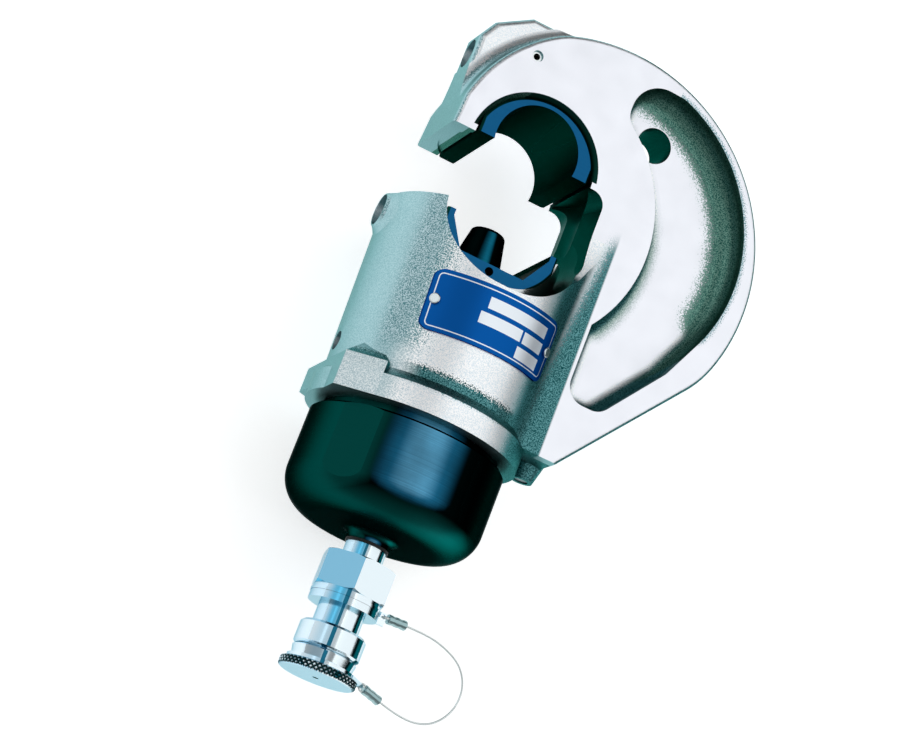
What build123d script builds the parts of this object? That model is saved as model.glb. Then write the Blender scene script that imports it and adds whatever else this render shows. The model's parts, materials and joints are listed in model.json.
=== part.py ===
from build123d import *
from math import acos, atan2, cos, degrees, pi, radians, sin, sqrt, tan
import os

# Hydraulic crimping head, lying on its back, in millimetres. The origin is the axis of the crimp
# nest on the ram's axis at mid thickness. +Y runs along the ram's stroke, from the oil coupler to
# the fixed jaw, and +X runs from the open throat to the spine of the C.

# Fits: radial room of sliding, threaded and seated parts, and room between stacked faces
slide_fit = 0.04
thread_fit = 0.05
seat_fit = 0.05
face_gap = 0.05

# Dies and crimp nest
die_radius = 22.65
die_length = 41.2
die_edge = 0.8
die_split = 2.0
die_half_width = 21.3
die_set_back = 2.3
nest_radius = 15.5
nest_rise = 5.0
jaw_opening = 25.2
ram_stroke = 25.0
anvil_floor_drop = 14.4
anvil_half_floor = 12.2
anvil_half_mouth = 18.5
anvil_mouth_drop = 4.2
punch_base_radius = 9.2
punch_top_radius = 6.0
punch_height = 16.2
punch_round = 1.6
punch_spigot_radius = 4.5
punch_spigot_length = 4.6
punch_pin_radius = 1.5
punch_pin_drop = 2.5
punch_pin_recess = 6.0
punch_pin_length = 25.0

# Forged C of the head
jaw_thickness = 38.6
tip_outer_x = -31.0
tip_overhang = 1.2
cheek_foot = (-30.3, 7.1)
cheek_mid = (-21.1, 27.5)
crown = (-4.7, 42.7)
spine_mid = (75.5, 24.0)
tail_start = (84.0, -50.6)
tail_end = (46.0, -98.4)
crown_round = 25.0
tail_round = 40.0
forged_edge = 1.6
seat_ring_width = 1.7
seat_ring_depth = 2.2
seat_ring_start = -1.9

# Throat between the jaws
throat_wall_gap = 2.85
throat_wall_draft = 11.1
throat_low_y = -39.4
throat_top_round = 5.5
throat_low_round = 9.0
throat_room = 2.55
throat_side_room = 3.4
relief_room = 0.5
relief_rise = 0.8

# Lightening pocket of each face, and the hanging hole in its web
pocket_depth = 9.8
pocket_floor_round = 6.5
pocket_top_corner = (26.3, 41.9)
pocket_inner_top = (26.4, 25.0)
pocket_inner_mid = (50.1, -13.4)
pocket_inner_foot = (40.3, -48.4)
pocket_low_corner = (40.3, -76.0)
pocket_tail_corner = (54.0, -76.0)
pocket_tail_bend = (71.6, -52.8)
pocket_outer_foot = (79.2, -37.3)
pocket_outer_mid = (83.1, -1.1)
pocket_outer_top = (43.5, 41.3)
pocket_top_round = 11.2
pocket_corner_round = 7.0
hanging_hole = (41.8, 24.4)
hanging_hole_radius = 6.5

# Barrel, flange and the block at its side
barrel_radius = 37.5
barrel_foot_radius = 35.6
barrel_length = 74.0
rim_drop = 2.1
fade_y = -16.4
fade_radius = 60.0
fade_turn = 19.0
fade_foot_radius = 10.0
fade_foot_turn = 60.0
valley_radius = 14.0
flange_overhang = 2.4
flange_height = 8.0
flange_flare = 6.0
block_flat = 36.5
block_half_width = 21.0
block_height = 18.3
block_flare = 6.0
block_pad_x = 24.0
block_step = 3.4
block_step_z = 2.0
lug_x = 42.3
lug_radius = 4.0
lug_root_radius = 6.5
lug_length = 5.4
lug_screw_radius = 2.5
lug_screw_length = 8.0
lug_screw_recess = 0.4

# Ram, its packing and its key
ram_radius = 27.5
piston_radius = 24.5
ram_lip_drop = 2.4
ram_edge = 0.6
ram_step_gap = 2.0
chamber_gap = 5.0
seal_groove_depth = 3.7
seal_width = 3.3
seal_lip = 1.1
backup_width = 1.6
seal_groove_rise = 2.5
wear_ring_depth = 1.6
wear_ring_width = 4.0
wear_ring_rise = 9.0
key_y = -38.2
key_boss_radius = 7.0
key_boss_reach = 1.8
key_boss_edge = 1.0
key_boss_slope = 32.0
key_recess_radius = 5.6
key_recess_depth = 5.0
key_thread_radius = 4.0
key_dog_radius = 2.6
key_depth = 3.2
key_end_gap = 0.5

# Return spring inside the ram
spring_bore_radius = 13.0
spring_bore_crown = 11.65
rod_radius = 4.5
rod_thread_radius = 5.0
rod_thread_length = 7.0
rod_end_gap = 2.0
rod_end_height = 2.0
rod_nut_radius = 11.5
rod_nut_height = 4.0
retainer_radius = 15.0
retainer_height = 4.6
return_spring_radius = 8.6
return_spring_wire = 2.4
return_spring_turns = 6

# Cylinder cap
cap_radius = 34.9
cap_height = 34.3
cap_gap = 2.7
cap_round = 13.0
cap_top_edge = 0.8
cap_neck_radius = 31.5
cap_floor = 16.9
cap_flat = 34.07
cap_flat_angle = 44.5
cap_flat_height = 26.0
skirt_radius = 30.0
skirt_length = 26.8
neck_boss_radius = 7.7
neck_boss_length = 3.2
neck_boss_root = 2.8
oil_passage_radius = 2.5
oil_outlet_radius = 1.25
port_radius = 6.6
port_depth = 7.1
cap_lock_drop = 4.4
cap_lock_radius = 3.4
cap_lock_length = 3.5
socket_size = 4.0
socket_depth = 2.0

# Upper die release: button across the jaw, latch pin on the nest's axis
release_y = 27.6
release_boss_half = 7.5
release_boss_x = -30.5
release_boss_low = 22.1
release_boss_high = 33.6
release_boss_shoulder = (-26.7, 40.3)
release_boss_top = (-14.5, 47.9)
release_boss_end = (9.0, 48.1)
release_boss_edge = 2.2
boss_web_round = 5.0
button_edge = 0.6
release_radius = 5.3
release_recess = 2.5
release_end_x = 6.0
release_bore_end_x = 19.0
release_travel = 4.0
release_pin_x = -11.8
release_pin_y = 30.5
release_pin_radius = 2.0
release_pin_bore = 1.2
release_pin_recess = 1.0
release_pin_depth = 28.0
latch_radius = 3.0
latch_depth = 1.2
latch_ramp = 0.4
latch_hole_extra = 0.3
release_spring_radius = 3.9
release_spring_wire = 1.0
release_spring_turns = 5

# Lower die detent in the ram
detent_radius = 2.4
detent_length = 4.2
detent_nose_radius = 1.8
detent_engagement = 1.0
detent_bore_depth = 9.4
detent_spring_wire = 0.6
detent_spring_turns = 4

# Rating plate on the barrel
plate_half_width = 24.3
plate_height = 21.7
plate_corner = 3.0
plate_thickness = 0.8
plate_y = -67.8
plate_angle = 8.0
plate_tilt = 2.5
rivet_angle = 36.5
rivet_radius = 1.9
rivet_shank_radius = 1.2
rivet_head = 0.9
rivet_depth = 5.0

# Quick coupler, from the cap downwards
coupler_seal_radius = 7.6
coupler_seal_thickness = 1.0
spigot_radius = 7.1
spigot_length = 5.4
hex_size = 24.0
hex_length = 12.1
hex_edge = 1.3
hex_turn = 40.0
step_radius = 12.0
step_length = 1.3
neck_radius = 8.1
neck_length = 11.0
washer_radius = 12.4
washer_thickness = 1.0
anchor_radius = 12.2
anchor_thickness = 2.6
sleeve_radius = 11.6
sleeve_length = 8.5
sleeve_edge = 0.9
sleeve_thread_radius = 7.0
nose_radius = 9.0
nose_length = 5.4
poppet_radius = 4.1
poppet_nose_radius = 3.4
poppet_nose_length = 1.3
poppet_length = 6.8
poppet_lip = 1.6
poppet_spring_radius = 3.1
poppet_spring_length = 10.0
poppet_spring_wire = 0.7
poppet_spring_turns = 7

# Dust cap and its lanyard
dust_sleeve_radius = 11.3
dust_sleeve_foot_radius = 10.6
dust_sleeve_length = 3.5
dust_groove_radius = 10.0
dust_groove_width = 1.5
dust_disc_radius = 13.7
dust_disc_thickness = 3.3
dust_disc_edge = 0.5
dust_cap_gap = 0.3
dust_seal_thickness = 0.6
cap_ring_radius = 11.9
cap_ring_thickness = 1.2
cap_ring_room = 0.1
strap_width = 2.4
tab_thickness = 1.0
tab_half_height = 1.4
tab_rim = 0.35
tab_root = 1.0
eye_radius = 1.3
eye_hole_radius = 0.85
eye_overlap = 0.5
ferrule_radius = 1.75
ferrule_length = 7.4
wire_radius = 0.4
bend_share = 0.45
# the wire's free loop, from the foot of the cap's boss
wire_route = [
    (22.6, -19.6, -0.6),
    (30.2, -18.9, -2.6),
    (39.2, -19.5, -5.8),
    (48.4, -22.6, -9.0),
    (53.2, -29.6, -11.3),
    (52.2, -38.6, -12.0),
    (45.8, -45.6, -11.4),
    (35.0, -47.6, -8.7),
    (24.8, -45.6, -5.6),
]

# Places along the axis that follow from the sizes above
jaw_half = jaw_thickness / 2
die_front_z = die_length / 2 - die_set_back
upper_die_y = -nest_rise
lower_die_y = upper_die_y - jaw_opening
tip_y = upper_die_y + die_split - tip_overhang
rim_y = lower_die_y - rim_drop
flange_bottom_y = rim_y - barrel_length
flange_top_y = flange_bottom_y + flange_height
flange_radius = barrel_foot_radius + flange_overhang
cap_top_y = flange_bottom_y - cap_gap
cap_bottom_y = cap_top_y - cap_height
skirt_top_y = cap_top_y + skirt_length
cap_lock_y = skirt_top_y - cap_lock_drop
cap_floor_y = cap_bottom_y + cap_floor
coupler_y = cap_bottom_y - neck_boss_length
port_floor_y = coupler_y + port_depth
ram_top_y = lower_die_y - ram_lip_drop
ram_step_y = skirt_top_y + ram_step_gap
ram_bottom_y = cap_floor_y + chamber_gap
seat_bottom_y = lower_die_y - die_radius - seat_fit
bore_crown_y = seat_bottom_y - spring_bore_crown
retainer_y = ram_bottom_y + retainer_height
rod_top_y = bore_crown_y - rod_end_gap
nut_top_y = rod_top_y - rod_end_height
nut_bottom_y = nut_top_y - rod_nut_height
anvil_floor_y = lower_die_y - anvil_floor_drop
punch_pin_y = anvil_floor_y - punch_pin_drop
far_out = 150.0

os.makedirs("parts", exist_ok=True)


def station(y):
    # plane across the axis at height y, whose extrusions run towards the coupler
    return Plane.XZ.offset(-y)


def barrel_radius_at(y):
    share = (rim_y - y) / (rim_y - flange_top_y)
    return barrel_radius + share * (barrel_foot_radius - barrel_radius)


def turned(*points, mode=Mode.ADD):
    # body of revolution about the ram's axis through (radius, y) points
    with BuildSketch() as section:
        with BuildLine():
            Polyline(*points, close=True)
        make_face()
    revolve(section.sketch, axis=Axis.Y, mode=mode)


def ring(outer, inner, top, bottom):
    turned((inner, top), (outer, top), (outer, bottom), (inner, bottom))


def bar_y(radius, top, bottom, x=0.0, z=0.0, mode=Mode.ADD):
    with BuildSketch(station(top)) as disc:
        with Locations((x, z)):
            Circle(radius)
    extrude(disc.sketch, amount=top - bottom, mode=mode)


def bar_x(radius, left, right, y, mode=Mode.ADD):
    with BuildSketch(Plane.YZ.offset(left)) as disc:
        with Locations((y, 0)):
            Circle(radius)
    extrude(disc.sketch, amount=right - left, mode=mode)


def bar_z(radius, low, high, x, y, mode=Mode.ADD):
    with BuildSketch(Plane.XY.offset(low)) as disc:
        with Locations((x, y)):
            Circle(radius)
    extrude(disc.sketch, amount=high - low, mode=mode)


def coil_spring(radius, wire, start, direction, length, turns):
    # round wire wound between two flat seats
    axis = Vector(direction).normalized()
    foot = Vector(start) + axis * (wire / 2 + face_gap)
    height = length - wire - 2 * face_gap
    with BuildLine() as path:
        Helix(height / turns, height, radius, center=foot, direction=axis)
    with BuildSketch(Plane(path.line @ 0, z_dir=path.line % 0)) as section:
        Circle(wire / 2)
    sweep(section.sketch, path=path.line, is_frenet=True)


def die_blank(y):
    # round bar with two side flats, its axis across the ram, set back from the front face
    with BuildSketch(Plane.XY.offset(die_front_z - die_length)) as blank_outline:
        with Locations((0, y)):
            Circle(die_radius)
            Rectangle(2 * die_half_width, 2 * die_radius, mode=Mode.INTERSECT)
    blank = extrude(blank_outline.sketch, amount=die_length)
    chamfer(blank.faces().filter_by(Axis.Z).edges(), die_edge)


def socket_cut(x, y):
    # hexagon socket in the outer end of a set screw that lies along X
    with BuildSketch(Plane.YZ.offset(x)) as socket:
        with Locations((y, 0)):
            RegularPolygon(socket_size / 2, 6, major_radius=False)
    extrude(socket.sketch, amount=socket_depth, mode=Mode.SUBTRACT)


def save(piece, name):
    piece.part.label = name
    export_step(piece.part, f"parts/{name}.step")


# Throat with its drafted wall, cut from the head
throat_wall_x = die_radius + throat_wall_gap
throat_side_z = barrel_radius + flange_overhang
with BuildPart() as throat_tool:
    for throat_z in (0.0, throat_side_z):
        wall_x = throat_wall_x + throat_z * tan(radians(throat_wall_draft))
        with BuildSketch(Plane.XY.offset(throat_z)) as throat_section:
            with BuildLine():
                Polyline(
                    (-far_out, tip_y),
                    (wall_x, tip_y),
                    (wall_x, throat_low_y),
                    (0, throat_low_y),
                    (0, rim_y),
                    (-far_out, rim_y),
                    close=True,
                )
            make_face()
            top_corner = throat_section.vertices().sort_by_distance((wall_x, tip_y, throat_z))[0]
            fillet(top_corner, throat_top_round)
            low_corner = throat_section.vertices().sort_by_distance((wall_x, throat_low_y, throat_z))[0]
            fillet(low_corner, throat_low_round)
    loft(ruled=True)
    mirror(about=Plane.XY)

# Bevel round the upper die's seat in one face, cut twice from the head
with BuildPart() as seat_bevel:
    with BuildSketch(Plane((0, upper_die_y, 0), x_dir=(1, 0, 0), z_dir=(0, -1, 0))) as bevel_section:
        with BuildLine():
            Polyline(
                (0, jaw_half),
                (die_radius + seat_ring_width, jaw_half),
                (die_radius, jaw_half - seat_ring_depth),
                (0, jaw_half - seat_ring_depth),
                close=True,
            )
        make_face()
    revolve(axis=Axis((0, upper_die_y, 0), (0, 0, 1)))
    split(bisect_by=Plane.XZ.offset(-seat_ring_start), keep=Keep.BOTTOM)

# Pocket of one face, cut twice from the head
with BuildPart() as pocket_tool:
    with BuildSketch(Plane.XY.offset(jaw_half - pocket_depth)) as pocket_section:
        with BuildLine():
            Line(pocket_top_corner, pocket_inner_top)
            ThreePointArc(pocket_inner_top, pocket_inner_mid, pocket_inner_foot)
            Polyline(
                pocket_inner_foot,
                pocket_low_corner,
                pocket_tail_corner,
                pocket_tail_bend,
                pocket_outer_foot,
            )
            ThreePointArc(pocket_outer_foot, pocket_outer_mid, pocket_outer_top)
            Line(pocket_outer_top, pocket_top_corner)
        make_face()
        for corner, corner_round in (
            (pocket_top_corner, pocket_top_round),
            (pocket_inner_top, pocket_corner_round),
            (pocket_outer_top, pocket_corner_round),
            (pocket_low_corner, pocket_corner_round),
            (pocket_tail_corner, pocket_corner_round),
            (pocket_tail_bend, pocket_corner_round),
        ):
            corner_point = (corner[0], corner[1], jaw_half - pocket_depth)
            fillet(pocket_section.vertices().sort_by_distance(corner_point)[0], corner_round)
    extrude(amount=2 * pocket_depth)
    fillet(pocket_tool.faces().sort_by(Axis.Z)[0].edges(), pocket_floor_round)

# Room over the barrel's shoulder, which runs out on one face of the C, cut twice from the head
with BuildPart() as fade_tool:
    with BuildSketch(Plane.YZ) as fade_section:
        with BuildLine():
            gentle = JernArc((fade_y, jaw_half), (-1, 0), fade_radius, -fade_turn)
            steep = JernArc(gentle @ 1, gentle % 1, fade_foot_radius, -fade_foot_turn)
            Polyline(
                steep @ 1,
                ((steep @ 1).X, throat_side_z),
                (fade_y + fade_foot_radius, throat_side_z),
                (fade_y + fade_foot_radius, jaw_half),
                (fade_y, jaw_half),
            )
        make_face()
    extrude(amount=far_out)

# Boss of the release button, grown onto the back of the jaw
with BuildPart() as release_boss:
    with BuildSketch() as boss_outline:
        with BuildLine():
            Polyline(
                (cheek_foot[0], cheek_foot[1]),
                (release_boss_x, release_boss_low),
                (release_boss_x, release_boss_high),
                release_boss_shoulder,
                release_boss_top,
                release_boss_end,
                (0, release_y),
                (0, cheek_foot[1]),
                close=True,
            )
        make_face()
    extrude(amount=release_boss_half, both=True)
    fillet(release_boss.faces().filter_by(Axis.Z).edges(), release_boss_edge)

# Hollow round between the boss and the back of the jaw
with BuildLine() as cheek_line:
    ThreePointArc(cheek_foot, cheek_mid, crown)
cheek_centre = cheek_line.edge().arc_center
cheek_radius = cheek_line.edge().radius
web_radius = cheek_radius + boss_web_round
web_top_z = release_boss_half + boss_web_round
with BuildPart() as boss_web:
    with BuildSketch(Plane(cheek_centre, x_dir=(1, 0, 0), z_dir=(0, -1, 0))) as web_section:
        with BuildLine():
            JernArc((web_radius, release_boss_half), (-1, 0), boss_web_round, -90)
            Polyline(
                (cheek_radius, web_top_z),
                (cheek_radius - forged_edge, web_top_z),
                (cheek_radius - forged_edge, 0),
                (web_radius, 0),
                (web_radius, release_boss_half),
            )
        make_face()
    revolve(axis=Axis(cheek_centre, (0, 0, 1)))
    mirror(about=Plane.XY)
    extrude(boss_outline.sketch, amount=web_top_z, both=True, mode=Mode.INTERSECT)

# Block with a flat at the barrel's foot
pad_z = sqrt(flange_radius**2 - block_pad_x**2)
with BuildPart() as side_block:
    with BuildSketch(station(flange_bottom_y + block_height)) as block_outline:
        with BuildLine():
            Polyline(
                (-block_flat, -block_half_width),
                (-block_flat, block_half_width),
                (-block_pad_x, pad_z),
                (0, 0),
                (-block_pad_x, -pad_z),
                close=True,
            )
        make_face()
    extrude(amount=block_height)
    chamfer(side_block.faces().sort_by(Axis.Y)[-1].edges(), block_flare)
    with BuildSketch(station(flange_bottom_y + block_step)) as step_outline:
        with Locations((-far_out / 2 - skirt_radius, block_step_z - far_out / 2)):
            Rectangle(far_out, far_out)
    extrude(amount=block_step, mode=Mode.SUBTRACT)

# Directions of the rating plate and its rivets on the barrel
plate_x_dir = (cos(radians(plate_angle)), 0, -sin(radians(plate_angle)))
plate_z_dir = (sin(radians(plate_angle)), 0, cos(radians(plate_angle)))
plate_plane = Plane((0, plate_y, 0), x_dir=plate_x_dir, z_dir=plate_z_dir).rotated((0, 0, plate_tilt))
rivet_planes = []
for rivet_side in (-1, 1):
    rivet_turn = radians(plate_angle + rivet_side * rivet_angle)
    rivet_across = barrel_radius_at(plate_y) * sin(radians(rivet_side * rivet_angle))
    rivet_rise = rivet_across * tan(radians(plate_tilt))
    rivet_planes.append(
        Plane(
            (0, plate_y + rivet_rise, 0),
            x_dir=(cos(rivet_turn), 0, -sin(rivet_turn)),
            z_dir=(sin(rivet_turn), 0, cos(rivet_turn)),
        )
    )
plate_under = barrel_radius_at(plate_y) + face_gap

# Head body: C plate and barrel forged in one piece, then machined
key_boss_x = -barrel_radius_at(key_y) - key_boss_reach
lug_bottom_y = tail_end[1] - lug_length
lug_root_y = tail_end[1] + lug_radius
flare_top = (barrel_radius_at(flange_top_y + flange_flare) - flange_overhang / 4, flange_top_y + flange_flare)
with BuildPart() as head_body:
    with BuildSketch() as jaw_outline:
        with BuildLine():
            Line((tip_outer_x, tip_y), cheek_foot)
            ThreePointArc(cheek_foot, cheek_mid, crown)
            ThreePointArc(crown, spine_mid, tail_start)
            Polyline(tail_start, tail_end, (0, tail_end[1]), (0, tip_y), (tip_outer_x, tip_y))
        make_face()
        for corner, corner_round in ((crown, crown_round), (tail_start, tail_round)):
            fillet(jaw_outline.vertices().sort_by_distance((*corner, 0))[0], corner_round)
    extrude(amount=jaw_half, both=True)
    rim_edges = head_body.faces().filter_by(Axis.Z).edges()
    fillet(
        rim_edges.filter_by(
            lambda e: e.geom_type == GeomType.CIRCLE
            or e.center().X > tail_end[0]
            or e.center().X < cheek_foot[0]
        ),
        forged_edge,
    )
    turned(
        (0, fade_y),
        (barrel_radius_at(fade_y), fade_y),
        (barrel_radius_at(flange_bottom_y), flange_bottom_y),
        (0, flange_bottom_y),
    )
    valley_edges = head_body.edges().filter_by(
        lambda e: abs(abs(e.center().Z) - jaw_half) < seat_fit
        and die_radius < e.center().X < tail_end[0]
        and e.length > barrel_length / 2
    )
    fillet(valley_edges, valley_radius)
    add(fade_tool.part, mode=Mode.SUBTRACT)
    add(fade_tool.part.mirror(Plane.XY), mode=Mode.SUBTRACT)
    # flange, with a hollow flare up to the barrel
    with BuildSketch() as flange_section:
        with BuildLine():
            TangentArc(flare_top, (flange_radius, flange_top_y), tangent=(0, -1))
            Polyline(
                (flange_radius, flange_top_y),
                (flange_radius, flange_bottom_y),
                (0, flange_bottom_y),
                (0, flare_top[1]),
                flare_top,
            )
        make_face()
    revolve(axis=Axis.Y)
    add(side_block.part)
    add(release_boss.part)
    add(boss_web.part)
    # lug under the spine's tail, a cone
    with BuildSketch() as lug_section:
        with BuildLine():
            Polyline(
                (lug_x, lug_root_y),
                (lug_x + lug_root_radius, lug_root_y),
                (lug_x + lug_radius, lug_bottom_y),
                (lug_x, lug_bottom_y),
                close=True,
            )
        make_face()
    revolve(axis=Axis((lug_x, 0, 0), (0, 1, 0)))
    add(pocket_tool.part, mode=Mode.SUBTRACT)
    add(pocket_tool.part.mirror(Plane.XY), mode=Mode.SUBTRACT)
    # boss of the key screw, a low cone
    key_boss_foot_x = -barrel_radius + key_boss_radius
    key_boss_spread = (key_boss_foot_x - key_boss_x - key_boss_edge) / tan(radians(key_boss_slope))
    with BuildSketch() as key_boss_section:
        with BuildLine():
            Polyline(
                (key_boss_x, key_y),
                (key_boss_x, key_y + key_boss_radius - key_boss_edge),
                (key_boss_x + key_boss_edge, key_y + key_boss_radius),
                (key_boss_foot_x, key_y + key_boss_radius + key_boss_spread),
                (key_boss_foot_x, key_y),
                close=True,
            )
        make_face()
    revolve(axis=Axis((0, key_y, 0), (1, 0, 0)))
    add(throat_tool.part, mode=Mode.SUBTRACT)
    with BuildSketch(Plane.XY.offset(-far_out)) as die_room:
        with Locations((throat_side_room / 2, lower_die_y)):
            SlotCenterToCenter(throat_side_room, 2 * (die_radius + throat_room))
    extrude(amount=2 * far_out, mode=Mode.SUBTRACT)
    # die seat, with a bevel round it in both faces
    bar_z(die_radius + seat_fit, -far_out, far_out, 0, upper_die_y, mode=Mode.SUBTRACT)
    add(seat_bevel.part, mode=Mode.SUBTRACT)
    add(seat_bevel.part.mirror(Plane.XY), mode=Mode.SUBTRACT)
    # ram bore and cap thread
    bar_y(ram_radius + relief_room, tip_y + relief_rise, rim_y, mode=Mode.SUBTRACT)
    bar_y(ram_radius + slide_fit, rim_y, flange_bottom_y, mode=Mode.SUBTRACT)
    bar_y(skirt_radius + thread_fit, skirt_top_y + face_gap, flange_bottom_y, mode=Mode.SUBTRACT)
    # cross holes
    bar_z(hanging_hole_radius, -far_out, far_out, *hanging_hole, mode=Mode.SUBTRACT)
    bar_x(key_recess_radius, -far_out, key_boss_x + key_recess_depth, key_y, mode=Mode.SUBTRACT)
    bar_x(key_thread_radius + thread_fit, -far_out, 0, key_y, mode=Mode.SUBTRACT)
    bar_x(cap_lock_radius + thread_fit, -far_out, 0, cap_lock_y, mode=Mode.SUBTRACT)
    bar_x(release_radius + slide_fit, -far_out, release_bore_end_x, release_y, mode=Mode.SUBTRACT)
    bar_y(latch_radius + slide_fit, release_y, upper_die_y, mode=Mode.SUBTRACT)
    bar_z(
        release_pin_radius + thread_fit,
        jaw_half - release_pin_depth,
        jaw_half,
        release_pin_x,
        release_pin_y,
        mode=Mode.SUBTRACT,
    )
    bar_y(
        lug_screw_radius + thread_fit,
        lug_bottom_y + lug_screw_length,
        lug_bottom_y,
        x=lug_x,
        mode=Mode.SUBTRACT,
    )
    for rivet_plane in rivet_planes:
        with BuildSketch(rivet_plane.offset(plate_under - rivet_depth)):
            Circle(rivet_shank_radius + thread_fit)
        extrude(amount=2 * rivet_depth, mode=Mode.SUBTRACT)
save(head_body, "head_body")

# Lug screw, its end flush with the lug under the spine's tail
with BuildPart() as lug_screw:
    lug_screw_top_y = lug_bottom_y + lug_screw_length - face_gap
    bar_y(lug_screw_radius, lug_screw_top_y, lug_bottom_y + lug_screw_recess, x=lug_x)
save(lug_screw, "lug_screw")

# Rating plate, a curved blank riveted to the barrel
band_top_y = plate_y + plate_height
band_low_y = plate_y - plate_height
band_top_radius = barrel_radius_at(band_top_y) + face_gap
band_low_radius = barrel_radius_at(band_low_y) + face_gap
with BuildPart() as rating_plate:
    turned(
        (band_top_radius, band_top_y),
        (band_top_radius + plate_thickness, band_top_y),
        (band_low_radius + plate_thickness, band_low_y),
        (band_low_radius, band_low_y),
    )
    with BuildSketch(plate_plane) as plate_outline:
        RectangleRounded(2 * plate_half_width, plate_height, plate_corner)
    extrude(amount=far_out, mode=Mode.INTERSECT)
    for rivet_plane in rivet_planes:
        with BuildSketch(rivet_plane):
            Circle(rivet_shank_radius + thread_fit)
        extrude(amount=far_out, mode=Mode.SUBTRACT)
save(rating_plate, "rating_plate")

plate_top = plate_under + plate_thickness + 2 * face_gap
with BuildPart() as plate_rivets:
    for rivet_plane in rivet_planes:
        with BuildSketch(rivet_plane.offset(plate_under - rivet_depth + face_gap)):
            Circle(rivet_shank_radius)
        extrude(amount=plate_top + rivet_head / 2 - plate_under + rivet_depth)
        with BuildSketch(rivet_plane.offset(plate_top)):
            Circle(rivet_radius)
        extrude(amount=rivet_head)
    dome_faces = plate_rivets.faces().filter_by(GeomType.PLANE).group_by(SortBy.AREA)[-1]
    fillet(dome_faces.edges(), rivet_head / 2)
save(plate_rivets, "plate_rivets")

# Cylinder cap with its threaded skirt, wrench flats and oil port
boss_root_radius = neck_boss_radius + neck_boss_root
with BuildPart() as cylinder_cap:
    with BuildSketch() as cap_section:
        with BuildLine():
            Polyline(
                (0, skirt_top_y),
                (skirt_radius, skirt_top_y),
                (skirt_radius, flange_bottom_y),
                (cap_neck_radius, flange_bottom_y - face_gap),
                (cap_neck_radius, cap_top_y),
                (cap_radius - cap_top_edge, cap_top_y),
                (cap_radius, cap_top_y - cap_top_edge),
                (cap_radius, cap_bottom_y + cap_round),
            )
            JernArc((cap_radius, cap_bottom_y + cap_round), (0, -1), cap_round, -90)
            Line((cap_radius - cap_round, cap_bottom_y), (boss_root_radius, cap_bottom_y))
            JernArc((boss_root_radius, cap_bottom_y), (-1, 0), neck_boss_root, 90)
            Polyline(
                (neck_boss_radius, cap_bottom_y - neck_boss_root),
                (neck_boss_radius, coupler_y),
                (0, coupler_y),
                (0, skirt_top_y),
            )
        make_face()
    revolve(axis=Axis.Y)
    for flat_turn in (-cap_flat_angle, 180 - cap_flat_angle):
        with BuildSketch(station(cap_top_y + cap_gap)) as flat_outline:
            with Locations(Location((0, 0), flat_turn)):
                with Locations((cap_flat + far_out / 2, 0)):
                    Rectangle(far_out, 2 * cap_radius)
        extrude(amount=cap_gap + cap_flat_height, mode=Mode.SUBTRACT)
    bar_y(piston_radius + slide_fit, skirt_top_y, cap_floor_y, mode=Mode.SUBTRACT)
    bar_y(rod_thread_radius, cap_floor_y, cap_floor_y - rod_thread_length, mode=Mode.SUBTRACT)
    bar_y(oil_passage_radius, cap_floor_y, coupler_y, mode=Mode.SUBTRACT)
    bar_y(port_radius, port_floor_y, coupler_y, mode=Mode.SUBTRACT)
save(cylinder_cap, "cylinder_cap")

# Set screw that locks the cap's thread
cap_lock_tip_x = -skirt_radius - thread_fit
with BuildPart() as cap_lock_screw:
    bar_x(cap_lock_radius, cap_lock_tip_x - cap_lock_length, cap_lock_tip_x, cap_lock_y)
    socket_cut(cap_lock_tip_x - cap_lock_length, cap_lock_y)
save(cap_lock_screw, "cap_lock_screw")

# Ram: head with the die seat, piston with its packing grooves, bore for the return spring
seal_top_y = ram_bottom_y + seal_groove_rise + seal_width + backup_width
seal_root_radius = piston_radius - seal_groove_depth
wear_top_y = ram_bottom_y + wear_ring_rise + wear_ring_width
wear_root_radius = piston_radius - wear_ring_depth
key_floor_x = -ram_radius + key_depth
detent_floor_y = seat_bottom_y - detent_bore_depth
with BuildPart() as ram:
    turned(
        (0, ram_top_y),
        (ram_radius - ram_edge, ram_top_y),
        (ram_radius, ram_top_y - ram_edge),
        (ram_radius, ram_step_y),
        (piston_radius, ram_step_y),
        (piston_radius, wear_top_y),
        (wear_root_radius, wear_top_y),
        (wear_root_radius, wear_top_y - wear_ring_width),
        (piston_radius, wear_top_y - wear_ring_width),
        (piston_radius, seal_top_y),
        (seal_root_radius, seal_top_y),
        (seal_root_radius, seal_top_y - seal_width - backup_width),
        (piston_radius, seal_top_y - seal_width - backup_width),
        (piston_radius, ram_bottom_y + ram_edge),
        (piston_radius - ram_edge, ram_bottom_y),
        (0, ram_bottom_y),
    )
    bar_z(die_radius + seat_fit, -far_out, far_out, 0, lower_die_y, mode=Mode.SUBTRACT)
    bar_y(spring_bore_radius, bore_crown_y, ram_bottom_y, mode=Mode.SUBTRACT)
    bar_y(retainer_radius + thread_fit, retainer_y, ram_bottom_y, mode=Mode.SUBTRACT)
    bar_y(detent_radius + slide_fit, lower_die_y, detent_floor_y, mode=Mode.SUBTRACT)
    # keyway, as long as the stroke
    with BuildSketch(Plane.YZ.offset(-ram_radius - key_depth)) as keyway:
        with Locations((key_y - ram_stroke / 2, 0)):
            SlotCenterToCenter(ram_stroke + 2 * key_end_gap, 2 * (key_dog_radius + slide_fit))
    extrude(amount=2 * key_depth, mode=Mode.SUBTRACT)
save(ram, "ram")

with BuildPart() as ram_key_screw:
    key_shoulder_x = -ram_radius - key_end_gap
    bar_x(key_thread_radius, key_boss_x + key_recess_depth, key_shoulder_x, key_y)
    bar_x(key_dog_radius, key_shoulder_x, key_floor_x - key_end_gap, key_y)
    socket_cut(key_boss_x + key_recess_depth, key_y)
save(ram_key_screw, "ram_key_screw")

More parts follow.
